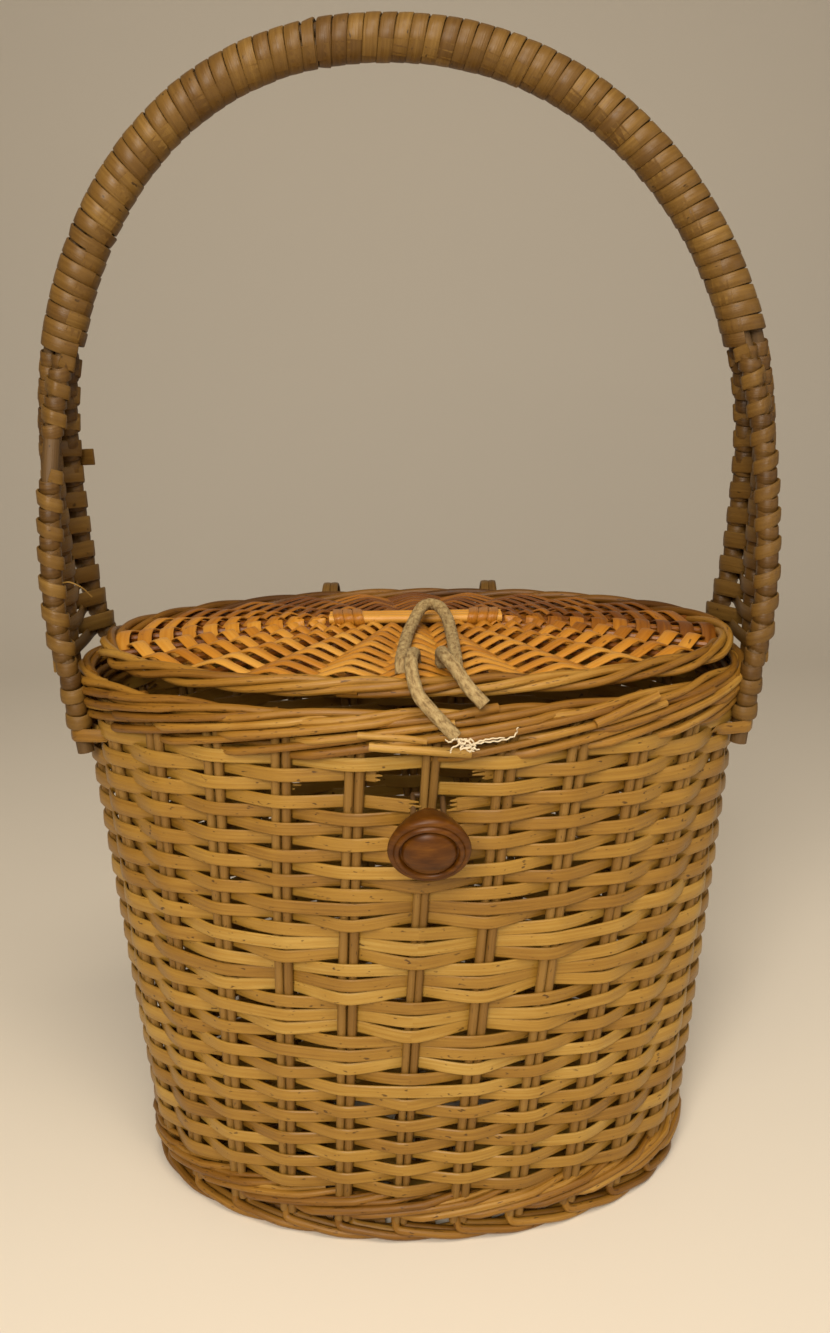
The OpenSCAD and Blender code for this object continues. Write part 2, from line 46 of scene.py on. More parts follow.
# camera at the photo's place
cameraSet = {"place": (-0.0005, -0.4409, 0.3154), "pitch": 75.31, "roll": -0.84, "sensor": 36,
             "lens": 32.55, "shift": 0.0041}
bpy.ops.object.camera_add()
camera = bpy.context.object
camera.name = "camera"
camera.data.sensor_fit = "VERTICAL"
camera.data.sensor_height = cameraSet["sensor"]
camera.data.lens = cameraSet["lens"]
camera.data.shift_x = cameraSet["shift"]
camera.matrix_world = (Matrix.Translation(cameraSet["place"])
                       @ Matrix.Rotation(math.radians(cameraSet["pitch"]), 4, "X")
                       @ Matrix.Rotation(math.radians(cameraSet["roll"]), 4, "Z"))
scene.camera = camera
print("camera placed")


# strands: every rod and strip is swept along its own line into a shared mesh
def newBundle():
    return {"verts": [], "faces": [], "uvs": [], "tones": [], "count": 0}


def unit(v):
    return v / np.maximum(np.linalg.norm(v, axis=-1, keepdims=True), 1e-12)


def runs(points, closed=False):
    if closed:
        return unit(np.roll(points, -1, 0) - np.roll(points, 1, 0))
    return unit(np.gradient(points, axis=0))


def arcLength(points):
    return np.concatenate([[0], np.cumsum(np.linalg.norm(np.diff(points, axis=0), axis=1))])


def sweep(bundle, points, outward, profile, closed=False, tone=0.5, taper=None):
    points = np.asarray(points, float) * mm
    along = runs(points, closed)
    outward = np.broadcast_to(np.asarray(outward, float), points.shape)
    thick = unit(outward - np.sum(outward * along, 1, keepdims=True) * along)
    across = np.cross(thick, along)
    shape = np.asarray(profile, float) * mm
    if shape[:, 0] @ np.roll(shape[:, 1], -1) < shape[:, 1] @ np.roll(shape[:, 0], -1):
        shape = shape[::-1]  # faces point outwards either way
    n, m = len(points), len(shape)
    scale = np.ones((n, 2)) if taper is None else np.broadcast_to(np.reshape(taper, (n, -1)), (n, 2))
    sized = shape[None] * scale[:, None]
    ring = points[:, None] + sized[..., :1] * across[:, None] + sized[..., 1:] * thick[:, None]
    start = bundle["count"]
    bundle["verts"].append(ring.reshape(-1, 3))
    bundle["tones"].append(np.repeat(np.broadcast_to(tone, n), m))
    bundle["count"] += n * m
    steps = n if closed else n - 1
    length = arcLength(np.vstack([points, points[:1]])) + rng.uniform(0, 5)  # own stretch of the grain
    i, j = np.meshgrid(np.arange(steps), np.arange(m), indexing="ij")
    i2, j2 = (i + 1) % n, (j + 1) % m
    quads = np.stack([i * m + j, i * m + j2, i2 * m + j2, i2 * m + j], -1).reshape(-1, 4)
    bundle["faces"].extend((quads + start).tolist())
    u0, u1 = length[i], length[i + 1]
    v0, v1 = j / m, (j + 1) / m
    bundle["uvs"].append(np.stack([u0, v0, u0, v1, u1, v1, u1, v0], -1).reshape(-1, 2))
    if not closed:
        caps = ((range(m - 1, -1, -1), length[0]), (range((n - 1) * m, n * m), length[n - 1]))
        for cap, end in caps:
            bundle["faces"].append([c + start for c in cap])
            bundle["uvs"].append(np.array([[end, q / m] for q in range(m)]))


def build(bundle, name, material, body, nodes=(), smoothAngle=50):
    mesh = bpy.data.meshes.new(name)
    mesh.from_pydata(np.vstack(bundle["verts"]).tolist(), [], bundle["faces"])
    uvMap = mesh.uv_layers.new(name="along")
    uvMap.data.foreach_set("uv", np.vstack(bundle["uvs"]).astype(np.float32).ravel())
    tone = mesh.attributes.new("tone", "FLOAT", "POINT")
    tone.data.foreach_set("value", np.concatenate(bundle["tones"]).astype(np.float32))
    piece = bpy.data.objects.new(name, mesh)
    scene.collection.objects.link(piece)
    bpy.ops.object.select_all(action="DESELECT")
    piece.select_set(True)
    bpy.context.view_layer.objects.active = piece
    bpy.ops.object.shade_smooth_by_angle(angle=math.radians(smoothAngle))
    finishPiece(piece, material, body, nodes)
    return piece


def finishPiece(piece, material, body, nodes=()):
    piece.data.materials.append(material)
    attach(piece, body)
    if nodes:
        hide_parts(*nodes)
    piece.select_set(False)


def roundRod(radius, sides=8):
    turn = np.arange(sides) * fullTurn / sides
    return np.stack([radius * np.cos(turn), radius * np.sin(turn)], -1)


# section of a flat strip, crowned on its outer face
def flatStrip(width, thick, crown=1.1, edge=0.8):
    w, t = width / 2, thick / 2
    return np.array([(-w, -0.5 * t), (-0.86 * w, -t), (0.86 * w, -t), (w, -0.5 * t), (w, 0.25 * t),
                     (edge * w, 0.86 * t), (0, crown * t), (-edge * w, 0.86 * t), (-w, 0.25 * t)])


# taper that changes a strip's width and leaves its thickness
def widthOnly(wide):
    return np.stack([wide, np.ones_like(wide)], -1)


def anyPhase(count=None):
    return rng.uniform(0, 6, count)


def jitter(size):
    return rng.uniform(-size, size)


# sum of waves, each given by its size and its count to the full turn
def waver(turn, *waves):
    return sum(size * np.sin(turn * count + anyPhase()) for size, count in waves)


def strandTone(low, high, n, waves=3, drift=0.09):
    x = np.arange(n) / n
    return rng.uniform(low, high) + drift * np.sin(fullTurn * (waves * x + rng.random()))


def smoothStep(x):
    x = np.clip(x, 0, 1)
    return x * x * (3 - 2 * x)


# way of a strip from one stake to the next: flat on both, eased between
def weaveBend(part, flat, ease):
    x = np.clip((part - flat) / (1 - 2 * flat), 0, 1)
    return (1 - ease) * x + ease * smoothStep(x)


# smooth curve through given points
def spline(points, per):
    p = np.vstack([2 * points[0] - points[1], points, 2 * points[-1] - points[-2]])
    x = np.arange(per)[:, None] / per
    out = []
    for a, b, c, d in zip(p[:-3], p[1:-2], p[2:-1], p[3:]):
        bow = (2 * a - 5 * b + 4 * c - d) * x ** 2 + (3 * b - a - 3 * c + d) * x ** 3
        out.append(0.5 * (2 * b + (c - a) * x + bow))
    return np.vstack(out + [points[-1:]])


# materials
def nodeTree(name):
    material = bpy.data.materials.new(name)
    material.use_nodes = True
    tree = material.node_tree
    return material, tree, tree.nodes["Principled BSDF"]


def addNode(tree, kind, **values):
    node = tree.nodes.new(kind)
    for key, value in values.items():
        if hasattr(node, key):
            setattr(node, key, value)
        else:
            node.inputs[key.replace("_", " ")].default_value = value
    return node


def ramp(tree, source, stops):
    node = tree.nodes.new("ShaderNodeValToRGB")
    while len(node.color_ramp.elements) < len(stops):
        node.color_ramp.elements.new(0.5)
    for element, (place, colour) in zip(node.color_ramp.elements, stops):
        element.position = place
        element.color = (*colour, 1)
    tree.links.new(source, node.inputs["Fac"])
    return node.outputs["Color"]


def stretchedNoise(tree, vector, scale, detail, stretch, rough=0.55):
    mapping = addNode(tree, "ShaderNodeMapping")
    mapping.inputs["Scale"].default_value = stretch
    tree.links.new(vector, mapping.inputs["Vector"])
    noise = addNode(tree, "ShaderNodeTexNoise", Scale=scale, Detail=detail, Roughness=rough)
    tree.links.new(mapping.outputs["Vector"], noise.inputs["Vector"])
    return noise.outputs["Fac"]


def mixColour(tree, factor, a, b):
    node = addNode(tree, "ShaderNodeMix", data_type="RGBA")
    tree.links.new(factor, node.inputs["Factor"])
    for socket, value in (("A", a), ("B", b)):
        target = [s for s in node.inputs if s.name == socket and s.type == "RGBA"][0]
        if isinstance(value, tuple):
            target.default_value = (*value, 1)
        else:
            tree.links.new(value, target)
    return [s for s in node.outputs if s.type == "RGBA"][0]


def mathNode(tree, operation, a, b):
    node = addNode(tree, "ShaderNodeMath", operation=operation)
    for k, value in enumerate((a, b)):
        if isinstance(value, (int, float)):
            node.inputs[k].default_value = value
        else:
            tree.links.new(value, node.inputs[k])
    return node.outputs["Value"]


def addBump(tree, shader, height, strength):
    bump = addNode(tree, "ShaderNodeBump", Strength=strength, Distance=0.4 * mm)
    tree.links.new(height, bump.inputs["Height"])
    tree.links.new(bump.outputs["Normal"], shader.inputs["Normal"])


# varnished cane: tone of each strand, fibres along it, dark nicks
caneSet = {"strand": 0.45, "fibre": 0.4, "cloud": 0.2, "nick": 0.8, "nickEdge": 0.05, "shinier": 0.1,
           "duller": 0.14, "specular": 0.26, "coatRough": 0.25, "bump": 0.45}


def caneMaterial(name, look):
    material, tree, shader = nodeTree(name)
    uv = addNode(tree, "ShaderNodeUVMap", uv_map="along").outputs["UV"]
    place = addNode(tree, "ShaderNodeTexCoord").outputs["Object"]
    tone = addNode(tree, "ShaderNodeAttribute", attribute_name="tone").outputs["Fac"]
    fibre = stretchedNoise(tree, uv, 1.0, 6, (30, 17, 1))
    cloud = stretchedNoise(tree, place, 60, 3, (1, 1, 1))
    fibreShade = mathNode(tree, "MULTIPLY", fibre, caneSet["fibre"])
    cloudShade = mathNode(tree, "MULTIPLY", cloud, caneSet["cloud"])
    mottle = mathNode(tree, "ADD", fibreShade, cloudShade)
    shade = mathNode(tree, "ADD", mathNode(tree, "MULTIPLY", tone, caneSet["strand"]), mottle)
    colour = ramp(tree, shade, look["stops"])
    nick = stretchedNoise(tree, uv, 1.0, 2, (210, 9, 1), 0.7)
    nickFull = look["nicks"] + caneSet["nickEdge"]
    nickMask = ramp(tree, nick, [(look["nicks"], (0, 0, 0)), (nickFull, (1, 1, 1))])
    colour = mixColour(tree, mathNode(tree, "MULTIPLY", nickMask, caneSet["nick"]), colour, look["dark"])
    tree.links.new(colour, shader.inputs["Base Color"])
    shiny, dull = look["gloss"] - caneSet["shinier"], look["gloss"] + caneSet["duller"]
    gloss = ramp(tree, fibre, [(0.2, (shiny,) * 3), (0.8, (dull,) * 3)])
    tree.links.new(gloss, shader.inputs["Roughness"])
    shader.inputs["Specular IOR Level"].default_value = caneSet["specular"]
    shader.inputs["Coat Weight"].default_value = look["coat"]
    shader.inputs["Coat Roughness"].default_value = caneSet["coatRough"]
    addBump(tree, shader, stretchedNoise(tree, uv, 1.0, 5, (45, 44, 1)), caneSet["bump"])
    return material


wallCane = caneMaterial("wallCane", {
    "stops": [(0.2, (0.10, 0.039, 0.004)), (0.42, (0.225, 0.108, 0.013)), (0.6, (0.32, 0.172, 0.026)),
              (0.8, (0.44, 0.275, 0.065))],
    "dark": (0.04, 0.014, 0.002), "nicks": 0.65, "gloss": 0.40, "coat": 0.14})
stakeCane = caneMaterial("stakeCane", {
    "stops": [(0.2, (0.085, 0.038, 0.007)), (0.45, (0.19, 0.094, 0.018)), (0.75, (0.29, 0.16, 0.036))],
    "dark": (0.04, 0.016, 0.004), "nicks": 0.66, "gloss": 0.48, "coat": 0.0})
rimRod = caneMaterial("rimRod", {
    "stops": [(0.2, (0.07, 0.025, 0.002)), (0.42, (0.175, 0.073, 0.007)), (0.6, (0.275, 0.13, 0.016)),
              (0.8, (0.43, 0.25, 0.055))],
    "dark": (0.035, 0.011, 0.002), "nicks": 0.625, "gloss": 0.42, "coat": 0.06})
lidCane = caneMaterial("lidCane", {
    "stops": [(0.2, (0.13, 0.038, 0.002)), (0.42, (0.31, 0.111, 0.007)), (0.6, (0.43, 0.175, 0.015)),
              (0.8, (0.55, 0.275, 0.045))],
    "dark": (0.05, 0.016, 0.002), "nicks": 0.67, "gloss": 0.38, "coat": 0.12})
hoopCane = caneMaterial("hoopCane", {
    "stops": [(0.2, (0.046, 0.020, 0.004)), (0.42, (0.098, 0.047, 0.009)), (0.6, (0.142, 0.073, 0.014)),
              (0.8, (0.25, 0.142, 0.032))],
    "dark": (0.02, 0.009, 0.002), "nicks": 0.68, "gloss": 0.40, "coat": 0.0})
rodWood = caneMaterial("rodWood", {
    "stops": [(0.2, (0.045, 0.022, 0.007)), (0.5, (0.09, 0.048, 0.015)), (0.8, (0.15, 0.085, 0.027))],
    "dark": (0.02, 0.009, 0.003), "nicks": 0.68, "gloss": 0.5, "coat": 0.0})
print("cane finishes made")

# oval body, as in the solids
bodySet = {"base": (215, 141), "rim": (250, 167), "height": 207, "baseInset": 4, "rimRadius": 3.6,
           "footRadius": 5.6, "pairs": 26, "stakeShift": 7.4, "stakeLean": 16, "rows": 36,
           "weaveLow": 20.774, "weaveHigh": 191.05, "stripThick": 1.1, "stripWide": 4.6, "stakeThick": 3.5}
footMid = np.array(bodySet["base"]) / 2 - bodySet["baseInset"]
rimMid = np.array(bodySet["rim"]) / 2 - bodySet["rimRadius"]
bodyHeight, pairs = bodySet["height"], bodySet["pairs"]
rowHeight = (bodySet["weaveHigh"] - bodySet["weaveLow"]) / bodySet["rows"]
turnSteps = np.linspace(0, fullTurn, 721)
rimArc = arcLength(np.stack([rimMid[0] * np.sin(turnSteps), -rimMid[1] * np.cos(turnSteps)], -1))
rimLength = rimArc[-1]


# share 0 is the front, and runs round to the right
def turnAt(share):
    share = np.asarray(share, float)
    return np.interp((share - np.floor(share)) * rimLength, rimArc, turnSteps)


def midHalf(z):
    z = np.asarray(z, float)[..., None]
    return footMid + (rimMid - footMid) * z / bodyHeight


def stakeShare(k, z):
    lean = bodySet["stakeLean"] * (1 - np.asarray(z) / bodyHeight)
    return np.asarray(k, float) / pairs + (bodySet["stakeShift"] - lean) / rimLength


def onOval(half, share, z, off=0.0):
    t = turnAt(share)
    off = np.broadcast_to(off, t.shape)
    z = np.broadcast_to(z, t.shape)
    return np.stack([(half[..., 0] + off) * np.sin(t), -(half[..., 1] + off) * np.cos(t), z], -1)


def ovalOut(half, share):
    t = turnAt(share)
    return unit(np.stack([np.sin(t) / half[..., 0], -np.cos(t) / half[..., 1], np.zeros_like(t)], -1))


# stakes in pairs
stakeSet = {"low": 8, "high": 200, "steps": 17, "radius": 1.68, "gap": 1.8, "inset": -0.1, "sway": 0.18,
            "swayLength": 27, "frontThin": 0.84}
stakes = newBundle()
z = np.linspace(stakeSet["low"], stakeSet["high"], stakeSet["steps"])
half = midHalf(z)
for k in range(pairs):
    thin = stakeSet["frontThin"] if k == 0 else 1.0  # the bare front pair is slimmer
    for side in (-1, 1):
        gap = thin * stakeSet["gap"] + rng.uniform(-0.05, 0.12)
        sway = stakeSet["sway"] * np.sin(z / stakeSet["swayLength"] + anyPhase())
        share = stakeShare(k, z) + (side * gap + sway) / rimLength
        line = onOval(half, share, z, stakeSet["inset"])
        sweep(stakes, line, ovalOut(half, share), roundRod(stakeSet["radius"] * thin),
              tone=rng.uniform(0.25, 0.75))
build(stakes, "stakes", stakeCane, "basket")
print("stakes up")

# wall strips: over one pair, under the next, with the front diamond and the three snapped strips
wallSet = {"perPitch": 12, "flat": 0.07, "ease": 0.25, "seat": 0.05, "wobble": ((0.22, 4), (0.12, 9)),
           "widths": (0.95, 1.01), "crown": 1.06, "edge": 0.82, "closer": 0.27, "rearFrom": -10,
           "rearOver": 40, "flankFrom": 62, "flankOver": 35}
diamondSet = {"firstRow": 8, "bands": 7, "spread": 0.75}
# rows that have snapped, with the places in pitches where they now start and end
snapped = {34: (0.74, pairs - 0.72), 33: (0.02, pairs - 1.92), 32: (0.38, pairs - 0.25)}
splinterSet = {"places": (-1.5, 0.0, 1.5), "root": 0.8, "reach": (0.8, 4.5), "curl": 0.12, "wide": 1.5,
               "thick": 0.8}


# pairs that the diamond reaches to either side in a row's band (-1 off it), and the row's place in the band
def diamondReach(row):
    band, place = divmod(row - diamondSet["firstRow"], 3)
    middle = (diamondSet["bands"] - 1) // 2
    return (middle - abs(band - middle) if 0 <= band < diamondSet["bands"] else -1), place


def stripSide(row, k):
    k = (k + pairs // 2) % pairs - pairs // 2
    reach, place = diamondReach(row)
    flipped = place == 1 and abs(k) <= reach
    return 1.0 if ((row + k) % 2 == 0) != flipped else -1.0


def wallOffset(row, u, reach):
    k = np.floor(u).astype(int)
    near = np.array([stripSide(row, int(q)) for q in k])
    far = np.array([stripSide(row, int(q) + 1) for q in k])
    return reach * (near + (far - near) * weaveBend(u - k, wallSet["flat"], wallSet["ease"]))


# the three strips of a band spread where they lie outside and close up behind the stakes
def bandSpread(row, u):
    reach, place = diamondReach(row)
    if reach < 0:
        return np.zeros_like(u)
    across = np.abs((u + pairs / 2) % pairs - pairs / 2)
    return (place - 1) * wallOffset(row, u, diamondSet["spread"]) * smoothStep(reach + 1 - across)


# ragged fibres where a strip has snapped
def splinters(bundle, end, way, out, tone):
    for place in splinterSet["places"]:
        reach = rng.uniform(*splinterSet["reach"])
        x = np.linspace(-splinterSet["root"], reach, 5)[:, None]
        curl = splinterSet["curl"] * np.maximum(x, 0) ** 1.3 * jitter(1)
        line = end + way * x + up * place + out * curl
        sweep(bundle, line, out, flatStrip(splinterSet["wide"], splinterSet["thick"]), tone=tone,
              taper=np.linspace(1, 0.3, 5))


wallStrips = newBundle()
for row in range(bodySet["rows"]):
    first, last = snapped.get(row, (0, pairs))
    whole = row not in snapped
    count = int(round((last - first) * wallSet["perPitch"]))
    u = first + (last - first) * np.arange(count if whole else count + 1) / count
    wobble = waver(fullTurn * u / pairs, *wallSet["wobble"])
    z = bodySet["weaveLow"] + (row + 0.5) * rowHeight + wobble + bandSpread(row, u)
    off = wallOffset(row, u, bodySet["stakeThick"] / 2 + bodySet["stripThick"] / 2 - wallSet["seat"])
    half = midHalf(z)
    share = stakeShare(u, z)
    line = onOval(half, share, z, off)
    out = ovalOut(half, share)
    width = bodySet["stripWide"] * rng.uniform(*wallSet["widths"])
    section = flatStrip(width, bodySet["stripThick"], wallSet["crown"], wallSet["edge"])
    tone = strandTone(0.25, 0.78, len(u))
    rear = smoothStep((line[:, 1] - wallSet["rearFrom"]) / wallSet["rearOver"])
    flank = smoothStep((np.abs(line[:, 0]) - wallSet["flankFrom"]) / wallSet["flankOver"])
    wide = 1 + wallSet["closer"] * np.maximum(rear, flank)  # closer weave at the sides and the back
    sweep(wallStrips, line, out, section, whole, tone, widthOnly(wide))
    if not whole:
        along = runs(line)
        splinters(wallStrips, line[0], -along[0], out[0], 0.5)
        splinters(wallStrips, line[-1], along[-1], out[-1], 0.5)
build(wallStrips, "wallStrips", wallCane, "basket", ["wall_weave"], 32)
print("wall woven")

# rim and base rods
strokeSet = {"steps": 22, "comeOut": 0.36, "goIn": 0.7, "cutShort": 0.75, "taper": (1.06, 0.85),
             "sizes": (0.86, 1.1), "jitterUp": 0.45, "jitterOut": 0.3, "jitterAlong": 0.1}
ropeSet = {"steps": 280, "end": 1.012, "lapFrom": 0.985, "lapOver": 0.02, "lapOut": 1.2, "lapUp": 1.3,
           "loose": ((0.4, 11), (0.3, 17)), "swell": (0.07, 7), "shadeFrom": -20, "shadeOver": 60}
rimSet = {"strokes": ({"level": 195.6, "rise": 4.0, "radius": 1.5, "reach": 2.7, "back": -1.6, "spread": 2.8,
                       "cut": 0.25, "skip": (25,)},
                      {"level": 200.4, "rise": 3.3, "radius": 1.5, "reach": 3.4, "back": -1.6, "spread": 2.9,
                       "cut": 0.3}),
          "inner": (193.2, 196.4, 199.6), "innerRadius": 1.5, "innerOff": -3.0, "looseOut": 4.4,
          "rope": {"level": 203.6, "radius": 1.45, "helix": 1.85, "rods": 4, "turns": 6, "start": 0.03,
                   "shift": 0.0, "backShade": 0.2}}
baseRodSet = {"strokes": ({"level": 15.4, "rise": 3.0, "radius": 1.5, "reach": 2.5, "back": -1.4,
                           "spread": 3.0, "cut": 0},
                          {"level": 16.6, "rise": 2.6, "radius": 1.3, "reach": 1.6, "back": -1.4,
                           "spread": 2.6, "cut": 0}),
              "inner": (11.0, 14.0, 17.0), "innerRadius": 1.4, "innerOff": -3.0}


# rods laid in slanting strokes: out from behind a stake, over two, and behind the next
def strokes(bundle, rod):
    spread = rod["spread"]
    for k in range(pairs):
        if k in rod.get("skip", ()):
            continue
        cutEnd = rng.random() < rod["cut"]
        w = np.linspace(0, spread - (strokeSet["cutShort"] if cutEnd else 0), strokeSet["steps"])
        z = rod["level"] + (w - spread / 2) * rod["rise"] + jitter(strokeSet["jitterUp"])
        ends = [0, 1, 1, 1] if cutEnd else [0, 1, 1, 0]
        side = np.interp(w, [0, strokeSet["comeOut"], spread - strokeSet["goIn"], spread], ends)
        off = rod["back"] + (rod["reach"] - rod["back"]) * side + jitter(strokeSet["jitterOut"])
        share = stakeShare(k + w + jitter(strokeSet["jitterAlong"]), z)
        half = midHalf(z)
        section = roundRod(rod["radius"] * rng.uniform(*strokeSet["sizes"]))
        sweep(bundle, onOval(half, share, z, off), ovalOut(half, share), section,
              tone=strandTone(0.15, 0.8, len(w), 1), taper=np.interp(w, [0, spread], strokeSet["taper"]))


# rods running round an oval, loosely twined, each with a lapped end
def ropeRods(bundle, half, rope):
    steps = ropeSet["steps"]
    x = np.linspace(0, ropeSet["end"], steps)
    lap = smoothStep((x - ropeSet["lapFrom"]) / ropeSet["lapOver"])
    full = np.broadcast_to(half, (steps, 2))
    for s in range(rope["rods"]):
        share = x + rope["start"] + s / rope["rods"]
        angle = fullTurn * (rope["turns"] * share + s / rope["rods"])
        slack = fullTurn * share
        loose = waver(slack, *ropeSet["loose"])
        off = rope["helix"] * np.cos(angle) + loose + ropeSet["lapOut"] * lap
        z = rope["level"] + rope["helix"] * np.sin(angle) - 0.6 * loose + ropeSet["lapUp"] * lap
        swell = 1 + waver(slack, ropeSet["swell"])
        line = onOval(full, share, z, off) + np.array([rope["shift"], 0, 0])
        rearShade = smoothStep((line[:, 1] - ropeSet["shadeFrom"]) / ropeSet["shadeOver"])  # painted shade: darker to the back
        sweep(bundle, line, ovalOut(full, share), roundRod(rope["radius"]), taper=swell,
              tone=strandTone(0.2, 0.85, steps, 4) - rope["backShade"] * rearShade)


# rounds of the twining that pass inside the stakes
def innerRounds(bundle, rods):
    steps = 6 * pairs
    share = np.arange(steps) / steps
    for level in rods["inner"]:
        z = level + 0.5 * np.sin(fullTurn * (pairs // 2) * share + anyPhase())
        half = midHalf(z)
        sweep(bundle, onOval(half, share, z, rods["innerOff"]), ovalOut(half, share),
              roundRod(rods["innerRadius"]), True, strandTone(0.1, 0.5, steps))


rimRods = newBundle()
for rod in rimSet["strokes"]:
    strokes(rimRods, rod)
innerRounds(rimRods, rimSet)
# three points on the way, each x and height, then radius and tone
looseRods = (((-13.5, 195.9), (2.0, 194.6), (18.4, 192.9), 1.55, 0.95),
             ((-17.0, 199.6), (-6.0, 199.0), (4.6, 197.6), 1.2, 0.85),
             ((58.5, 199.4), (66.0, 201.8), (80.0, 206.0), 1.6, 0.6))
for a, b, c, radius, tone in looseRods:  # cut rods lying at the front of the rim
    way = spline(np.array([a, b, c]), 6)
    half = midHalf(way[:, 1]) + rimSet["looseOut"]
    depth = -np.sqrt(1 - (way[:, 0] / half[:, 0]) ** 2) * half[:, 1]
    line = np.stack([way[:, 0], depth, way[:, 1]], -1)
    sweep(rimRods, line, np.array([0, -1.0, 0]), roundRod(radius), tone=tone)
build(rimRods, "rimRods", rimRod, "basket", ["rim_wale"])
rimEdge = newBundle()
ropeRods(rimEdge, rimMid, rimSet["rope"])
build(rimEdge, "rimEdge", rimRod, "basket", ["rim_border"])
baseRods = newBundle()
for rod in baseRodSet["strokes"]:
    strokes(baseRods, rod)
innerRounds(baseRods, baseRodSet)
build(baseRods, "baseRods", rimRod, "basket", ["base_wale"])
print("rim and base rods laid")

# foot: stakes come down, bend sharply to the right and run along to the floor
# points of footWay: pitches along, height, distance out
footSet = {"rod": 1.55, "floor": 1.6, "start": 0.05, "second": (0.13, -0.1, -2.9),
           "half": np.array(bodySet["base"]) / 2 - bodySet["footRadius"]}
footWay = np.array([(-0.02, 11.0, 0.8), (0.0, 8.8, 1.6), (0.01, 6.8, 2.3), (0.04, 5.4, 2.8),
                    (0.16, 4.7, 3.1), (0.5, 3.9, 3.2), (0.8, 3.0, 3.2), (1.05, 2.3, 2.9), (1.4, 1.7, 1.8),
                    (1.8, 1.6, 0.2), (2.2, 1.6, -1.6), (2.6, 1.6, -3.2)])
footRods = newBundle()
for k in range(pairs):
    for rod in range(2):
        way = spline(footWay + np.array(footSet["second"]) * rod, 4)
        way[:, 1] += jitter(0.2)
        share = stakeShare(k + way[:, 0] - footSet["start"] + jitter(0.06), 0)
        half = np.broadcast_to(footSet["half"], (len(way), 2))
        line = onOval(half, share, np.maximum(way[:, 1], footSet["floor"]), way[:, 2])
        sweep(footRods, line, ovalOut(half, share), roundRod(footSet["rod"]), tone=rng.uniform(0.1, 0.7))
build(footRods, "footRods", rimRod, "basket", ["foot_border"])
print("foot bent")

# woven oval on radial stakes, for lid and base
ovalSet = {"perSpoke": 10, "flat": 0.04, "ease": 0.2, "frontReach": 0.42, "frontDepth": 40, "sideLap": 0.18,
           "domeFrom": 0.3, "wobble": (0.2, 5), "shadeSkew": 0.25, "shadeFrom": -20, "shadeOver": 48}
lidSet = {"inner": (34, 6), "outer": (111, 70), "rows": 19, "spokes": 24, "reach": 2.5, "tilt": 7,
          "lap": 1.1, "level": 212.0, "dome": 4.5, "shift": 2.0, "thick": 0.9, "spoke": 1.25, "backShade": 0.8,
          "edge": (114.5, 73.5)}
lidRope = {"level": 212.0, "radius": 1.5, "helix": 2.05, "rods": 4, "turns": 7, "start": -0.043,
           "shift": lidSet["shift"], "backShade": 0.6}
baseSet = {"inner": (40, 8.5), "outer": (101.5, 64.5), "rows": 11, "spokes": 26, "reach": 1.3, "tilt": 0,
           "lap": 1.0, "level": 10.6, "dome": 0.0, "shift": 0.0, "thick": 1.0, "spoke": 1.1, "backShade": 0.0}


def wovenOval(bundle, weave):
    inner, outer = np.array(weave["inner"], float), np.array(weave["outer"], float)
    rows, spokes = weave["rows"], weave["spokes"]
    step = (outer - inner) / rows
    tilt = math.radians(weave["tilt"])

    def height(s):
        q = ovalSet["domeFrom"] + (1 - ovalSet["domeFrom"]) * s
        return weave["level"] + weave["dome"] * (1 - q * q)

    u = np.arange(spokes * ovalSet["perSpoke"]) / ovalSet["perSpoke"]
    k = np.floor(u).astype(int)
    bend = weaveBend(u - k, ovalSet["flat"], ovalSet["ease"])
    share = u / spokes
    t = turnAt(share)
    for row in range(rows):
        s = (row + 0.5) / rows
        near = np.where((row + k) % 2 == 0, 1.0, -1.0)
        half = np.broadcast_to(inner + (outer - inner) * s, (len(u), 2))
        forward = smoothStep(half[:, 1] * np.cos(t) / ovalSet["frontDepth"])
        lift = weave["reach"] * (1 + ovalSet["frontReach"] * forward) * near * (1 - 2 * bend)
        out = ovalOut(half, share)
        pitch = step[0] * np.sin(t) * out[:, 0] - step[1] * np.cos(t) * out[:, 1]
        wobble = waver(fullTurn * share, ovalSet["wobble"])
        line = onOval(half, share, height(s) + lift, wobble) + np.array([weave["shift"], 0, 0])
        wide = (weave["lap"] + ovalSet["sideLap"] * np.sin(t) ** 2) * pitch / math.cos(tilt)
        rearward = line[:, 1] + ovalSet["shadeSkew"] * line[:, 0]
        rearShade = smoothStep((rearward - ovalSet["shadeFrom"]) / ovalSet["shadeOver"])  # painted shade: the rear half, and towards the right, darker where the light falls less
        sweep(bundle, line, math.cos(tilt) * up + math.sin(tilt) * out, flatStrip(1.0, weave["thick"]), True,
              strandTone(0.45, 0.95, len(u)) - weave["backShade"] * rearShade, widthOnly(wide))
    s = np.linspace(-0.02, 1.02, 14)
    half = inner + (outer - inner) * s[:, None]
    for k in range(spokes):
        t = turnAt(np.full(len(s), k / spokes))
        line = np.stack([half[:, 0] * np.sin(t) + weave["shift"], -half[:, 1] * np.cos(t), height(s)], -1)
        sweep(bundle, line, up, roundRod(weave["spoke"]), tone=rng.uniform(-0.4, 0.0))


lidWeave = newBundle()
wovenOval(lidWeave, lidSet)
build(lidWeave, "lidWeave", lidCane, "lid", ["lid_panel"], 35)
lidEdge = newBundle()
ropeRods(lidEdge, np.array(lidSet["edge"]), lidRope)
build(lidEdge, "lidEdge", rimRod, "lid", ["lid_border"])
baseWeave = newBundle()
wovenOval(baseWeave, baseSet)
build(baseWeave, "baseWeave", wallCane, "basket", ["base_panel"])
print("lid and base woven")

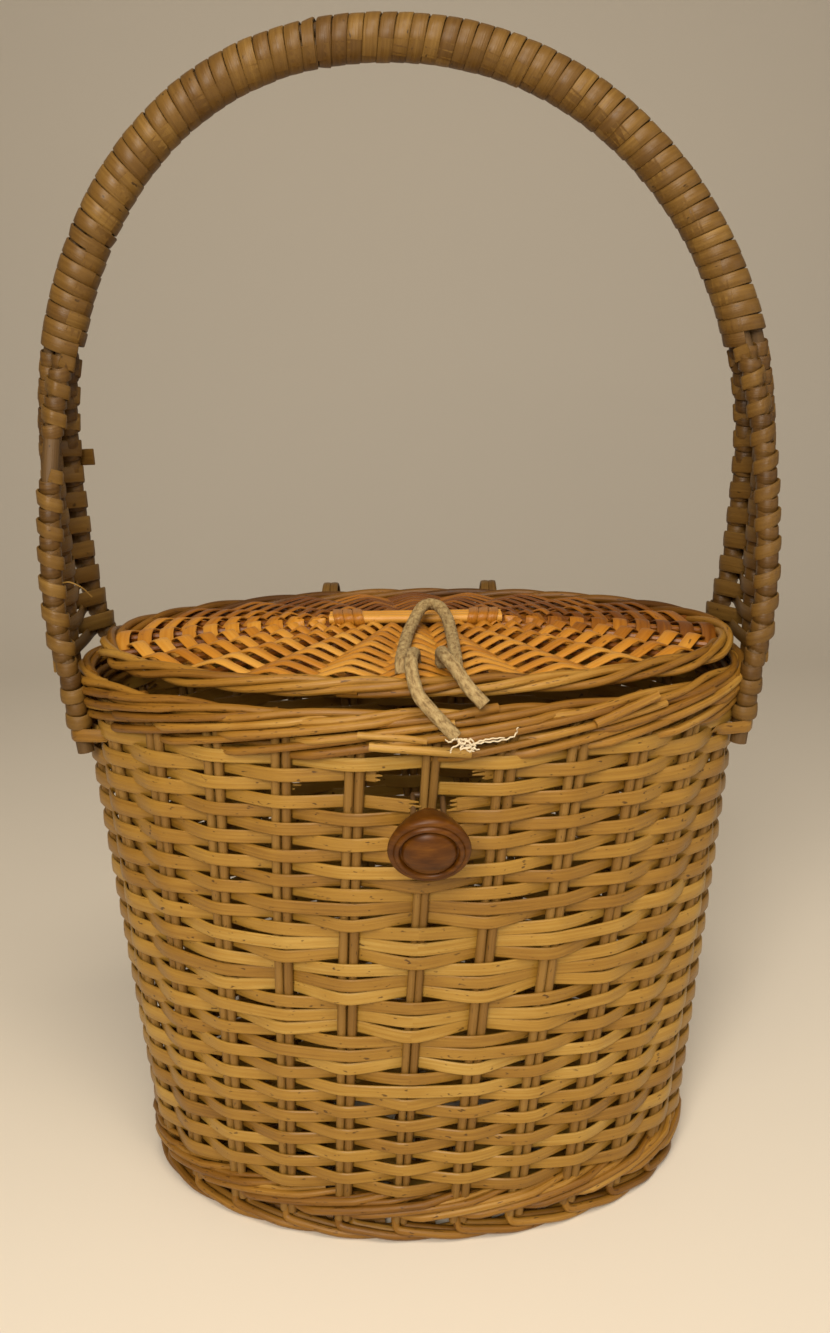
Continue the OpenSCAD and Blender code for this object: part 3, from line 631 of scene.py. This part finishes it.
# lid middle: three pale bars with a wrap at both ends
spineSet = {"length": 64, "bar": 1.72, "barPitch": 3.5, "level": 219.1, "wrap": 11, "turns": 3, "inset": 2,
            "wrapHalf": (5.9, 2.15), "wrapWide": 3.5, "wrapThick": 0.8}
lidSpine = newBundle()
for side in (-1, 0, 1):
    x = np.linspace(-spineSet["length"] / 2, spineSet["length"] / 2, 12)
    y = np.full(12, side * spineSet["barPitch"])
    line = np.stack([x + lidSet["shift"], y, np.full(12, spineSet["level"])], -1)
    sweep(lidSpine, line, up, roundRod(spineSet["bar"], 10), tone=rng.uniform(0.85, 1.0))
for end in (-1, 1):
    turn = np.linspace(0, fullTurn * spineSet["turns"], 90)
    run = spineSet["length"] / 2 - spineSet["inset"] - spineSet["wrap"] * turn / turn[-1]
    y = spineSet["wrapHalf"][0] * np.sign(np.cos(turn)) * np.abs(np.cos(turn)) ** 0.5
    z = spineSet["level"] + spineSet["wrapHalf"][1] * np.sign(np.sin(turn)) * np.abs(np.sin(turn)) ** 0.6
    line = np.stack([end * run + lidSet["shift"], y, z], -1)
    out = np.stack([np.zeros(90), np.cos(turn), np.sin(turn)], -1)
    sweep(lidSpine, line, out, flatStrip(spineSet["wrapWide"], spineSet["wrapThick"]), tone=0.3)
build(lidSpine, "lidSpine", lidCane, "lid", ["lid_spine"])
print("lid bars tied")

# hoop of three rods, fanning out into legs
hoopSet = {"half": 127.0, "middle": 265.0, "rise": 151.29, "power": 2.15, "lean": 7.0, "split": 318.0,
           "legEnd": 178.0, "legSpan": 60.0, "rod": 3.0, "slack": 0.05, "reach": 3.35, "wallStand": 2.85,
           "blend": 3}
bundleRadius = hoopSet["rod"] + hoopSet["slack"]
rodOffsets = np.array([(-bundleRadius / math.sqrt(3), -bundleRadius), (2 * bundleRadius / math.sqrt(3), 0),
                       (-bundleRadius / math.sqrt(3), bundleRadius)])
legPlaces = np.array([-0.5, 0.0, 0.5]) * hoopSet["legSpan"]


# turn from the top of the hoop down to a height
def hoopTurn(z):
    return math.acos(((z - hoopSet["middle"]) / hoopSet["rise"]) ** (hoopSet["power"] / 2))


def hoopSag(z):
    rise = np.clip((z - hoopSet["middle"]) / hoopSet["rise"], 0, None)
    return -hoopSet["lean"] * rise ** 2


def hoopOut(x, z):
    steep = hoopSet["power"] - 1
    rise = np.clip((z - hoopSet["middle"]) / hoopSet["rise"], 0, 1) ** steep / hoopSet["rise"]
    over = (np.abs(x) / hoopSet["half"]) ** steep / hoopSet["half"] * np.sign(x)
    return unit(np.stack([over, np.zeros_like(over), rise], -1))


def archPoint(t, offset=(0.0, 0.0)):
    p = 2 / hoopSet["power"]
    x = hoopSet["half"] * np.sign(t) * np.abs(np.sin(t)) ** p
    z = hoopSet["middle"] + hoopSet["rise"] * np.cos(t) ** p
    out = hoopOut(x, z)
    return np.stack([x + hoopSag(z), np.full_like(x, offset[1]), z], -1) + offset[0] * out, out


def ovalX(half, y):
    return half[0] * np.sqrt(1 - (y / half[1]) ** 2)


def legPoint(side, rod, z):
    z = np.asarray(z, float)
    s = np.clip((hoopSet["split"] - z) / (hoopSet["split"] - bodyHeight), 0, 1)
    pull = np.clip((hoopSet["middle"] - z) / (hoopSet["middle"] - bodyHeight), 0, 1) ** 2
    radial, depth = rodOffsets[rod]
    y = depth * (1 - s) + legPlaces[rod] * s
    rise = np.clip((z - hoopSet["middle"]) / hoopSet["rise"], 0, 1)
    free = hoopSet["half"] * (1 - rise ** hoopSet["power"]) ** (1 / hoopSet["power"])
    onRim = ovalX(np.array(bodySet["rim"]) / 2 + hoopSet["reach"], y)
    onWall = ovalX(midHalf(hoopSet["legEnd"]) + hoopSet["wallStand"] + hoopSet["reach"], y)
    low = onRim + (onWall - onRim) * (bodyHeight - z) / (bodyHeight - hoopSet["legEnd"])
    x = side * np.where(z >= bodyHeight, free * (1 - pull) + onRim * pull, low)
    place = np.stack([x + hoopSag(z), y, z], -1)
    return place + (radial * (1 - s))[..., None] * hoopOut(x, z)


handleRods = newBundle()
legLevels = np.linspace(hoopSet["legEnd"], hoopSet["split"] - hoopSet["blend"], 34)
archTurns = np.linspace(-hoopTurn(hoopSet["split"]), hoopTurn(hoopSet["split"]), 61)
for rod in range(3):
    line = np.vstack([legPoint(-1, rod, legLevels), archPoint(archTurns, rodOffsets[rod])[0],
                      legPoint(1, rod, legLevels[::-1])])
    sweep(handleRods, line, np.array([0, 1.0, 0]), roundRod(hoopSet["rod"], 12), tone=rng.uniform(0.3, 0.6))
build(handleRods, "handleRods", rodWood, "basket",
      ["handle_front_rod", "handle_middle_rod", "handle_rear_rod"])

# flat strip wound round the hoop, with two split turns
wrapSet = {"pitch": 5.2, "radius": 7.2, "wide": 5.02, "thick": 0.95, "perTurn": 20, "overlap": 0.06,
           "seam": 2.2, "end": 318.5, "splits": ((-27.0, 415.0), (-107.0, 357.0)), "splitNear": 2.7,
           "splitWide": 0.84, "splitTilt": 0.22, "uneven": 0.1, "tilt": 0.07, "skew": 0.25,
           "widths": (0.985, 1.015), "crown": 0.98, "edge": 0.9}
fine = np.linspace(-hoopTurn(wrapSet["end"]), hoopTurn(wrapSet["end"]), 2001)
fineArc = arcLength(archPoint(fine)[0])
turnCount = round(fineArc[-1] / wrapSet["pitch"])
wrapPitch = fineArc[-1] / turnCount
handleWrap = newBundle()
sideways = np.array([0, 1.0, 0])
q = np.linspace(-wrapSet["overlap"], 1 + wrapSet["overlap"], wrapSet["perTurn"] + 3)
angle = fullTurn * q - wrapSet["seam"]
for turn in range(turnCount):
    centre, out = archPoint(np.interp((turn + q) * wrapPitch, fineArc, fine))
    radius = wrapSet["radius"] + jitter(wrapSet["uneven"]) + wrapSet["uneven"] * np.cos(fullTurn * q)
    radial = np.cos(angle)[:, None] * out + np.sin(angle)[:, None] * sideways
    hoopRun = np.cross(out, sideways)
    tilt = rng.uniform(0.0, wrapSet["tilt"])
    middle = centre[len(q) // 2]
    nearest = min(math.hypot(middle[0] - x, middle[2] - z) for x, z in wrapSet["splits"])
    split = nearest < wrapSet["splitNear"]
    wide = wrapSet["wide"] * (wrapSet["splitWide"] if split else rng.uniform(*wrapSet["widths"]))
    skew = jitter(wrapSet["skew"]) * np.cos(angle)
    line = centre + radius[:, None] * radial + skew[:, None] * hoopRun
    sweep(handleWrap, line, radial + (wrapSet["splitTilt"] if split else tilt) * hoopRun,
          flatStrip(wide, wrapSet["thick"], wrapSet["crown"], wrapSet["edge"]),
          tone=strandTone(0.3, 0.75, len(q), 1))
build(handleWrap, "handleWrap", hoopCane, "basket", ["handle_wrap"])
print("hoop wrapped")

# gussets: one strip in figures of eight round front, middle and rear leg
gussetSet = {"low": 209.5, "high": 317.0, "pitch": 4.85, "hug": (4.3, 3.7, 4.1), "wide": 5.6, "thick": 0.95,
             "frontWide": 0.84, "rearMore": 0.26, "climb": 0.5, "riseOver": 3.0, "tornLow": 275.5,
             "tornHigh": 290.0, "stub": 278.0, "stubWide": 6.0, "fibre": 238.0, "fibreRadius": 0.28}
turnSet = {"low": 190.5, "closer": 1.02, "sunk": 3.3, "raisedIn": 0.1, "raisedBelow": 2, "slant": 0.9,
           "wide": 4.9, "thick": 0.9}
strapSet = {"level": 185.0, "halfTurn": 0.11, "out": 9.6, "tuck": 1.6, "slant": 0.6, "wide": 4.6,
            "thick": 1.0}


def isTorn(z):
    return (z > gussetSet["tornLow"]) & (z < gussetSet["tornHigh"])


def gussetLine(side):
    rows = int((gussetSet["high"] - gussetSet["low"]) / gussetSet["pitch"])
    out = np.array([side, 0.0, 0.0])
    points = []
    for row in range(rows):
        z = gussetSet["low"] + row * gussetSet["pitch"]
        order = (0, 1, 2) if row % 2 == 0 else (2, 1, 0)
        way = 1 if row % 2 == 0 else -1
        a, b, c = [legPoint(side, rod, z + gussetSet["climb"] * n) for n, rod in enumerate(order)]
        ha, hb, hc = [gussetSet["hug"][rod] for rod in order]
        points += [a + out * way * ha, (a + b) / 2, b - out * way * hb, (b + c) / 2, c + out * way * hc]
        points.append(legPoint(side, order[2], z + gussetSet["riseOver"]) + np.array([0, way * hc, 0]))
    return np.array(points)


# turns round one leg: lying deep between the figures of eight, every second one raised below them
def legTurns(bundle, side, rod):
    turn = np.arange(20) * fullTurn / 20
    radial = np.stack([np.cos(turn), np.sin(turn), np.zeros(20)], -1)
    section = flatStrip(turnSet["wide"], turnSet["thick"])
    levels = np.arange(turnSet["low"], gussetSet["high"], gussetSet["pitch"] / turnSet["closer"])
    for n, z in enumerate(levels):
        if side < 0 and rod == 0 and isTorn(z):
            continue
        raised = n % 2 == 0 and z < gussetSet["low"] - turnSet["raisedBelow"]
        hug = gussetSet["hug"][rod] - turnSet["raisedIn"] if raised else turnSet["sunk"]
        centre = legPoint(side, rod, z + turnSet["slant"] * np.sin(turn + jitter(0.5)))
        # painted shade: the sunk turns, deep between the figures of eight, get a darker tone
        tone = rng.uniform(0.4, 0.7) if raised else rng.uniform(0.0, 0.4)
        sweep(bundle, centre + hug * radial, radial, section, True, tone)


# wall strip that holds a leg end down
def legStrap(bundle, side, rod):
    leg = legPoint(side, rod, strapSet["level"])
    half = midHalf(strapSet["level"])
    x = np.linspace(-1, 1, 15)
    turn = math.atan2(leg[0] / half[0], -leg[1] / half[1]) + x * strapSet["halfTurn"]
    over = strapSet["out"] * np.clip(1.25 - 1.35 * np.abs(x), 0, 1)
    leave = over - strapSet["tuck"] * (np.abs(x) > 0.93)
    z = strapSet["level"] + strapSet["slant"] * x
    line = np.stack([(half[0] + leave) * np.sin(turn), -(half[1] + leave) * np.cos(turn), z], -1)
    sweep(bundle, line, np.array([side, 0.0, 0.0]), flatStrip(strapSet["wide"], strapSet["thick"]),
          tone=rng.uniform(0.1, 0.35))


straps = newBundle()
for side, name in ((-1, "left"), (1, "right")):
    gusset = newBundle()
    line = spline(gussetLine(side), 6)
    level = line[:, 2]
    lean = unit(legPoint(side, 1, level + 4) - legPoint(side, 1, level - 4))
    face = np.cross(runs(line), lean)
    front, middle, rear = [legPoint(side, rod, level)[:, 1] for rod in range(3)]
    rearward = np.clip((line[:, 1] - front) / (rear - front), 0, 1)
    wide = widthOnly(gussetSet["frontWide"] + gussetSet["rearMore"] * rearward)
    torn = isTorn(level) & (line[:, 1] < (front + middle) / 2) & (side < 0)
    cuts = np.flatnonzero(np.diff(np.concatenate([[True], torn, [True]]).astype(int)))
    for a, b in zip(cuts[::2], cuts[1::2]):
        sweep(gusset, line[a:b], face[a:b], flatStrip(gussetSet["wide"], gussetSet["thick"]),
              tone=strandTone(0.35, 0.65, b - a, 9), taper=wide[a:b])
    for rod in range(3):
        legTurns(gusset, side, rod)
        legStrap(straps, side, rod)
    if side < 0:  # broken strip that stands off the rear leg, and a loose fibre
        stubWay = np.array([(-3.0, -6.0, -0.5), (-3.6, 1.0, 0.0), (0.5, 4.5, 0.2), (4.2, 4.0, 0.5),
                            (8.2, 2.6, 0.7)])
        stub = spline(legPoint(side, 2, gussetSet["stub"]) + stubWay, 5)
        section = flatStrip(gussetSet["stubWide"], gussetSet["thick"])
        sweep(gusset, stub, np.cross(runs(stub), up), section, tone=0.45)
        fibreWay = np.array([(3.6, 0, 0), (7, -2, 0.5), (10.5, 0, -2.0), (12.5, 4, -6.0)])
        fibre = spline(legPoint(side, 0, gussetSet["fibre"]) + fibreWay, 6)
        sweep(gusset, fibre, up, roundRod(gussetSet["fibreRadius"], 5), tone=1.2)
    build(gusset, name + "Gusset", hoopCane, "basket", [name + "_gusset"])
build(straps, "legStraps", wallCane, "basket")
print("gussets woven")

# turned knob, lathed from its profile
knobSet = {"pin": (4.774, -84.779, 171.648), "droop": 22.0, "neck": 3.6, "seat": 2.6, "steps": 56}
knobWood, tree, shader = nodeTree("knobWood")
place = addNode(tree, "ShaderNodeTexCoord").outputs["Object"]
rings = stretchedNoise(tree, place, 90, 4, (1, 1, 5))
knobColour = ramp(tree, rings, [(0.25, (0.036, 0.010, 0.0006)), (0.5, (0.082, 0.025, 0.0012)),
                                (0.75, (0.14, 0.048, 0.003))])
tree.links.new(knobColour, shader.inputs["Base Color"])
shader.inputs["Roughness"].default_value = 0.40
shader.inputs["Specular IOR Level"].default_value = 0.2
neck, seat = knobSet["neck"], knobSet["seat"]
knobStem = [(0, -2.4), (neck * 0.8, -2.4), (neck, -2.0), (neck, seat - 0.2), (neck + 0.4, seat)]
knobHead = [(7.2, 0), (7.9, 0.5), (9.6, 3.0), (11.6, 6.6), (12.5, 8.6), (12.95, 9.8), (13.0, 10.5),
            (12.7, 11.4), (12.0, 11.9), (11.3, 11.9), (11.0, 11.7), (10.8, 12.2), (10.3, 12.8),
            (9.7, 12.8), (9.3, 12.3), (9.0, 11.2), (8.7, 11.2), (8.4, 12.2), (7.9, 12.9), (6.4, 13.9),
            (3.5, 14.7), (0, 15)]
profile = knobStem + [(x, seat + z) for x, z in knobHead]
bpy.ops.object.select_all(action="DESELECT")
mesh = bpy.data.meshes.new("knob")
edges = [(i, i + 1) for i in range(len(profile) - 1)]
mesh.from_pydata([(x * mm, 0, z * mm) for x, z in profile], edges, [])
knob = bpy.data.objects.new("knob", mesh)
scene.collection.objects.link(knob)
knob.select_set(True)
bpy.context.view_layer.objects.active = knob
bpy.ops.object.mode_set(mode="EDIT")
bpy.ops.mesh.select_all(action="SELECT")
bpy.ops.mesh.spin(steps=knobSet["steps"], angle=fullTurn, center=(0, 0, 0), axis=(0, 0, 1))
bpy.ops.mesh.select_all(action="SELECT")
bpy.ops.mesh.remove_doubles(threshold=0.00002)
bpy.ops.mesh.normals_make_consistent(inside=False)
bpy.ops.object.mode_set(mode="OBJECT")
knob.matrix_world = (Matrix.Translation(Vector(knobSet["pin"]) * mm)
                     @ Matrix.Rotation(math.radians(90 + knobSet["droop"]), 4, "X"))
bpy.ops.object.transform_apply(location=True, rotation=True, scale=True)
bpy.ops.object.shade_smooth_by_angle(angle=math.radians(55))
finishPiece(knob, knobWood, "toggle", ["toggle_knob"])
print("knob turned")

# braided cord, torn in two, and its frayed threads
cordSet = {"diameter": 4.4, "lidFront": -77.5, "lift": 1.3, "lay": 4.2, "sides": 24, "strands": 6,
           "step": 0.45, "relief": 0.08}
cordPlace = np.array([0, cordSet["lidFront"], bodyHeight + cordSet["lift"]])  # on top of the woven lid
braid, tree, shader = nodeTree("braid")
uv = addNode(tree, "ShaderNodeUVMap", uv_map="along").outputs["UV"]
flecks = stretchedNoise(tree, uv, 1.0, 3, (420, 9, 1), 0.7)
braidColour = ramp(tree, flecks, [(0.34, (0.14, 0.082, 0.026)), (0.46, (0.265, 0.175, 0.068)),
                                  (0.68, (0.41, 0.30, 0.135))])
tree.links.new(braidColour, shader.inputs["Base Color"])
shader.inputs["Roughness"].default_value = 0.85
addBump(tree, shader, stretchedNoise(tree, uv, 1.0, 4, (900, 40, 1), 0.6), 0.5)


def braidedCord(name, way, node):
    line = spline(np.array(way, float) + cordPlace, 14)
    step = arcLength(line)
    even = np.linspace(0, step[-1], int(step[-1] / cordSet["step"]))
    line = np.stack([np.interp(even, step, line[:, c]) for c in range(3)], -1)
    along = runs(line)
    e1 = np.zeros_like(line)
    guide = np.array([1.0, 0, 0]) if abs(along[0][0]) < 0.8 else up
    for i, d in enumerate(along):  # a frame carried along the line without twist
        guide = unit(guide - (guide @ d) * d)
        e1[i] = guide
    e2 = np.cross(along, e1)
    n, m = len(line), cordSet["sides"]
    turn = np.arange(m) * fullTurn / m
    lay = even[:, None] / cordSet["lay"] * fullTurn
    strands = cordSet["strands"] * turn[None]
    weave = np.maximum(np.cos(strands + lay), np.cos(strands - lay))
    radius = cordSet["diameter"] / 2 * (1 - cordSet["relief"] + cordSet["relief"] * weave)
    radial = np.cos(turn)[None, :, None] * e1[:, None] + np.sin(turn)[None, :, None] * e2[:, None]
    bundle = newBundle()
    bundle["verts"].append(((line[:, None] + radius[..., None] * radial) * mm).reshape(-1, 3))
    bundle["tones"].append(np.full(n * m, 0.5))
    i, j = np.meshgrid(np.arange(n - 1), np.arange(m), indexing="ij")
    j2 = (j + 1) % m
    quads = np.stack([i * m + j, i * m + j2, (i + 1) * m + j2, (i + 1) * m + j], -1)
    bundle["faces"] = quads.reshape(-1, 4).tolist()
    u0, u1 = even[i] * mm, even[i + 1] * mm
    v0, v1 = j / m, (j + 1) / m
    bundle["uvs"].append(np.stack([u0, v0, u0, v1, u1, v1, u1, v0], -1).reshape(-1, 2))
    for cap in (list(range(m - 1, -1, -1)), list(range((n - 1) * m, n * m))):
        bundle["faces"].append(cap)
        bundle["uvs"].append(np.array([[0.0, q / m] for q in range(m)]))
    piece = build(bundle, name, braid, "lid", [node], 80)
    print(name, "is", round(step[-1], 1), "mm long")


fraySet = {"root": (13.6, -88.5, 200.0), "start": [(-1.6, 0.5, 1.9), (0.3, -0.5, -0.1)], "radius": 0.34,
           "waver": 0.16, "waves": 1.7, "taper": (1.1, 0.6)}
frayWays = [[(3.5, -1.8, -1.7), (8.0, -1.6, -0.9), (13.0, -1.2, -0.6), (17.6, -1.0, 0.8), (18.8, -0.8, 3.6)],
            [(2.5, -2.2, -2.4), (6.5, -2.0, -0.6), (10.0, -1.8, 0.2), (14.5, -1.4, 0.4)],
            [(0.5, -2.0, -1.4), (-1.4, -1.8, -2.4), (-2.0, -1.6, -4.2)],
            [(2.2, -2.6, 0.4), (4.6, -2.6, -1.4), (3.0, -2.4, -3.0), (5.2, -2.2, -3.4)],
            [(1.6, -2.6, -1.0), (4.2, -2.4, 0.4), (5.6, -2.2, -2.0), (3.8, -2.0, -3.8)],
            [(3.0, -1.4, -0.2), (1.0, -2.6, -2.6), (4.0, -2.4, -2.2), (6.8, -2.0, -3.2)],
            [(-0.8, -2.6, 0.6), (-2.2, -2.4, -0.4), (-3.4, -2.0, 0.2)]]
fray = newBundle()
for way in frayWays:
    line = spline(np.array(fraySet["root"]) + np.array(fraySet["start"] + way), 7)
    line += fraySet["waver"] * np.sin(np.arange(len(line))[:, None] * fraySet["waves"] + anyPhase(3))
    sweep(fray, line, up, roundRod(fraySet["radius"], 5), tone=1.0,
          taper=np.linspace(*fraySet["taper"], len(line)))
threadYarn, tree, shader = nodeTree("threads")
shader.inputs["Base Color"].default_value = (0.62, 0.52, 0.36, 1)
shader.inputs["Roughness"].default_value = 0.9
frayed = build(fray, "frayedThreads", threadYarn, "lid")

# routes given, the same as the solids'
leftWay = [(1.3, 20.5, 7), (1, 17.5, 11.5), (0.3, 10.5, 12.6), (0, 4.5, 12.3), (0.3, -1.5, 9.6),
           (2, -6.1, 4.6), (5.5, -8.7, 0.5), (9.5, -10.1, -3.7), (13.5, -10.9, -8)]
rightWay = [(10, 21.5, 7), (10, 18, 11.6), (10.5, 11.5, 12.7), (11.5, 5, 12.8), (14, -0.5, 10.9),
            (17.5, -5, 6.4), (22.5, -7.5, 1.2)]
archWay = [(-5.3, 12, 6.3), (-5.4, 13.6, 9.6), (-5, 21.5, 10.5), (-4, 32.5, 11.6), (-2.4, 47.5, 12.8),
           (0.8, 62, 15.2), (4, 71, 17.6), (8, 76, 17.8), (12, 71, 17.6), (15, 62, 15.2), (16.2, 46.5, 12.8),
           (16.6, 32.5, 11.6), (16.8, 20.5, 10.5), (16.8, 13.6, 9.6), (16.6, 12, 6.3)]
# the limp loop then draws together about its foot
archDraw = {"middle": np.array([5.7, 12, 6.3]), "share": np.array([0.8, 0.9, 0.94])}
drawnArch = archDraw["middle"] + (np.array(archWay) - archDraw["middle"]) * archDraw["share"]
braidedCord("cordLeft", leftWay, "loop_left_end")
braidedCord("cordRight", rightWay, "loop_right_end")
braidedCord("cordArch", drawnArch, "loop_arch")

# hinge loops: two turns of dark split cane round lid and rim
hingeSet = {"span": 69, "y": 79.9, "z": 207.2, "radius": 9.55, "wide": 3.4, "thick": 1.2, "apart": 1.75,
            "uneven": 0.25}
turn = np.arange(40) * fullTurn / 40
radial = np.stack([np.zeros(40), np.cos(turn), np.sin(turn)], -1)
for side, name in ((-1, "left"), (1, "right")):
    loop = newBundle()
    for lie in (-1, 1):
        line = np.array([0, hingeSet["y"], hingeSet["z"]]) + hingeSet["radius"] * radial
        uneven = hingeSet["uneven"] * np.sin(turn * 2 + lie)
        line[:, 0] = side * hingeSet["span"] / 2 + lie * hingeSet["apart"] + uneven
        section = flatStrip(hingeSet["wide"], hingeSet["thick"])
        sweep(loop, line, radial, section, True, rng.uniform(0.3, 0.6))
    build(loop, name + "HingeLoop", hoopCane, "lid", [name + "_hinge_loop"])
print("hinge loops tied")

# the tie behind the knob keeps its solid
tieCane, tree, shader = nodeTree("tieCane")
place = addNode(tree, "ShaderNodeTexCoord").outputs["Object"]
fibre = stretchedNoise(tree, place, 300, 4, (1, 0.25, 0.25))
tieColour = ramp(tree, fibre, [(0.3, (0.05, 0.022, 0.006)), (0.7, (0.13, 0.066, 0.018))])
tree.links.new(tieColour, shader.inputs["Base Color"])
shader.inputs["Roughness"].default_value = 0.55
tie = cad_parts["toggle_tie"]
tie.data.materials.clear()
tie.data.materials.append(tieCane)

# pale sweep of floor and backdrop, soft warm light
stageSet = {"half": 2.2, "front": -1.6, "back": 0.75, "bend": 0.6, "top": 2.4,
            "colour": (0.74, 0.67, 0.57, 1)}
worldSet = {"colour": (1.0, 0.94, 0.85, 1), "strength": 0.16}
lampSet = {"keyLight": {"place": (-0.18, -0.95, 0.70), "aim": (0, -0.05, 0.17), "size": 0.4, "power": 11.2,
                        "colour": (1, 0.92, 0.80)},
           "topLight": {"place": (0.08, -0.5, 1.05), "aim": (0, -0.08, 0.2), "size": 0.4, "power": 6,
                        "colour": (1, 0.88, 0.70)},
           "fillLight": {"place": (0.95, -0.45, 0.5), "aim": (0, 0, 0.15), "size": 0.8, "power": 1.8,
                         "colour": (0.97, 0.98, 1.0)}}
profile = [(stageSet["front"], 0.0)]
for q in np.linspace(0, math.pi / 2, 13):
    profile.append((stageSet["back"] + stageSet["bend"] * math.sin(q), stageSet["bend"] * (1 - math.cos(q))))
profile.append((profile[-1][0], stageSet["top"]))
mesh = bpy.data.meshes.new("backdrop")
mesh.from_pydata([(x, y, z) for y, z in profile for x in (-stageSet["half"], stageSet["half"])], [],
                 [(2 * i, 2 * i + 1, 2 * i + 3, 2 * i + 2) for i in range(len(profile) - 1)])
mesh.shade_smooth()
backdrop = bpy.data.objects.new("backdrop", mesh)
scene.collection.objects.link(backdrop)
paleBackdrop, tree, shader = nodeTree("paleBackdrop")
shader.inputs["Base Color"].default_value = stageSet["colour"]
shader.inputs["Roughness"].default_value = 0.9
mesh.materials.append(paleBackdrop)
world = bpy.data.worlds.new("studio")
scene.world = world
world.use_nodes = True
background = world.node_tree.nodes["Background"]
background.inputs["Color"].default_value = worldSet["colour"]
background.inputs["Strength"].default_value = worldSet["strength"]
for name, light in lampSet.items():
    bpy.ops.object.light_add(type="AREA", location=light["place"])
    lamp = bpy.context.object
    lamp.name = name
    lamp.data.size = light["size"]
    lamp.data.energy = light["power"]
    lamp.data.color = light["colour"]
    lamp.rotation_mode = "QUATERNION"
    lamp.rotation_quaternion = (Vector(light["aim"]) - Vector(light["place"])).to_track_quat("-Z", "Y")
print("lit")
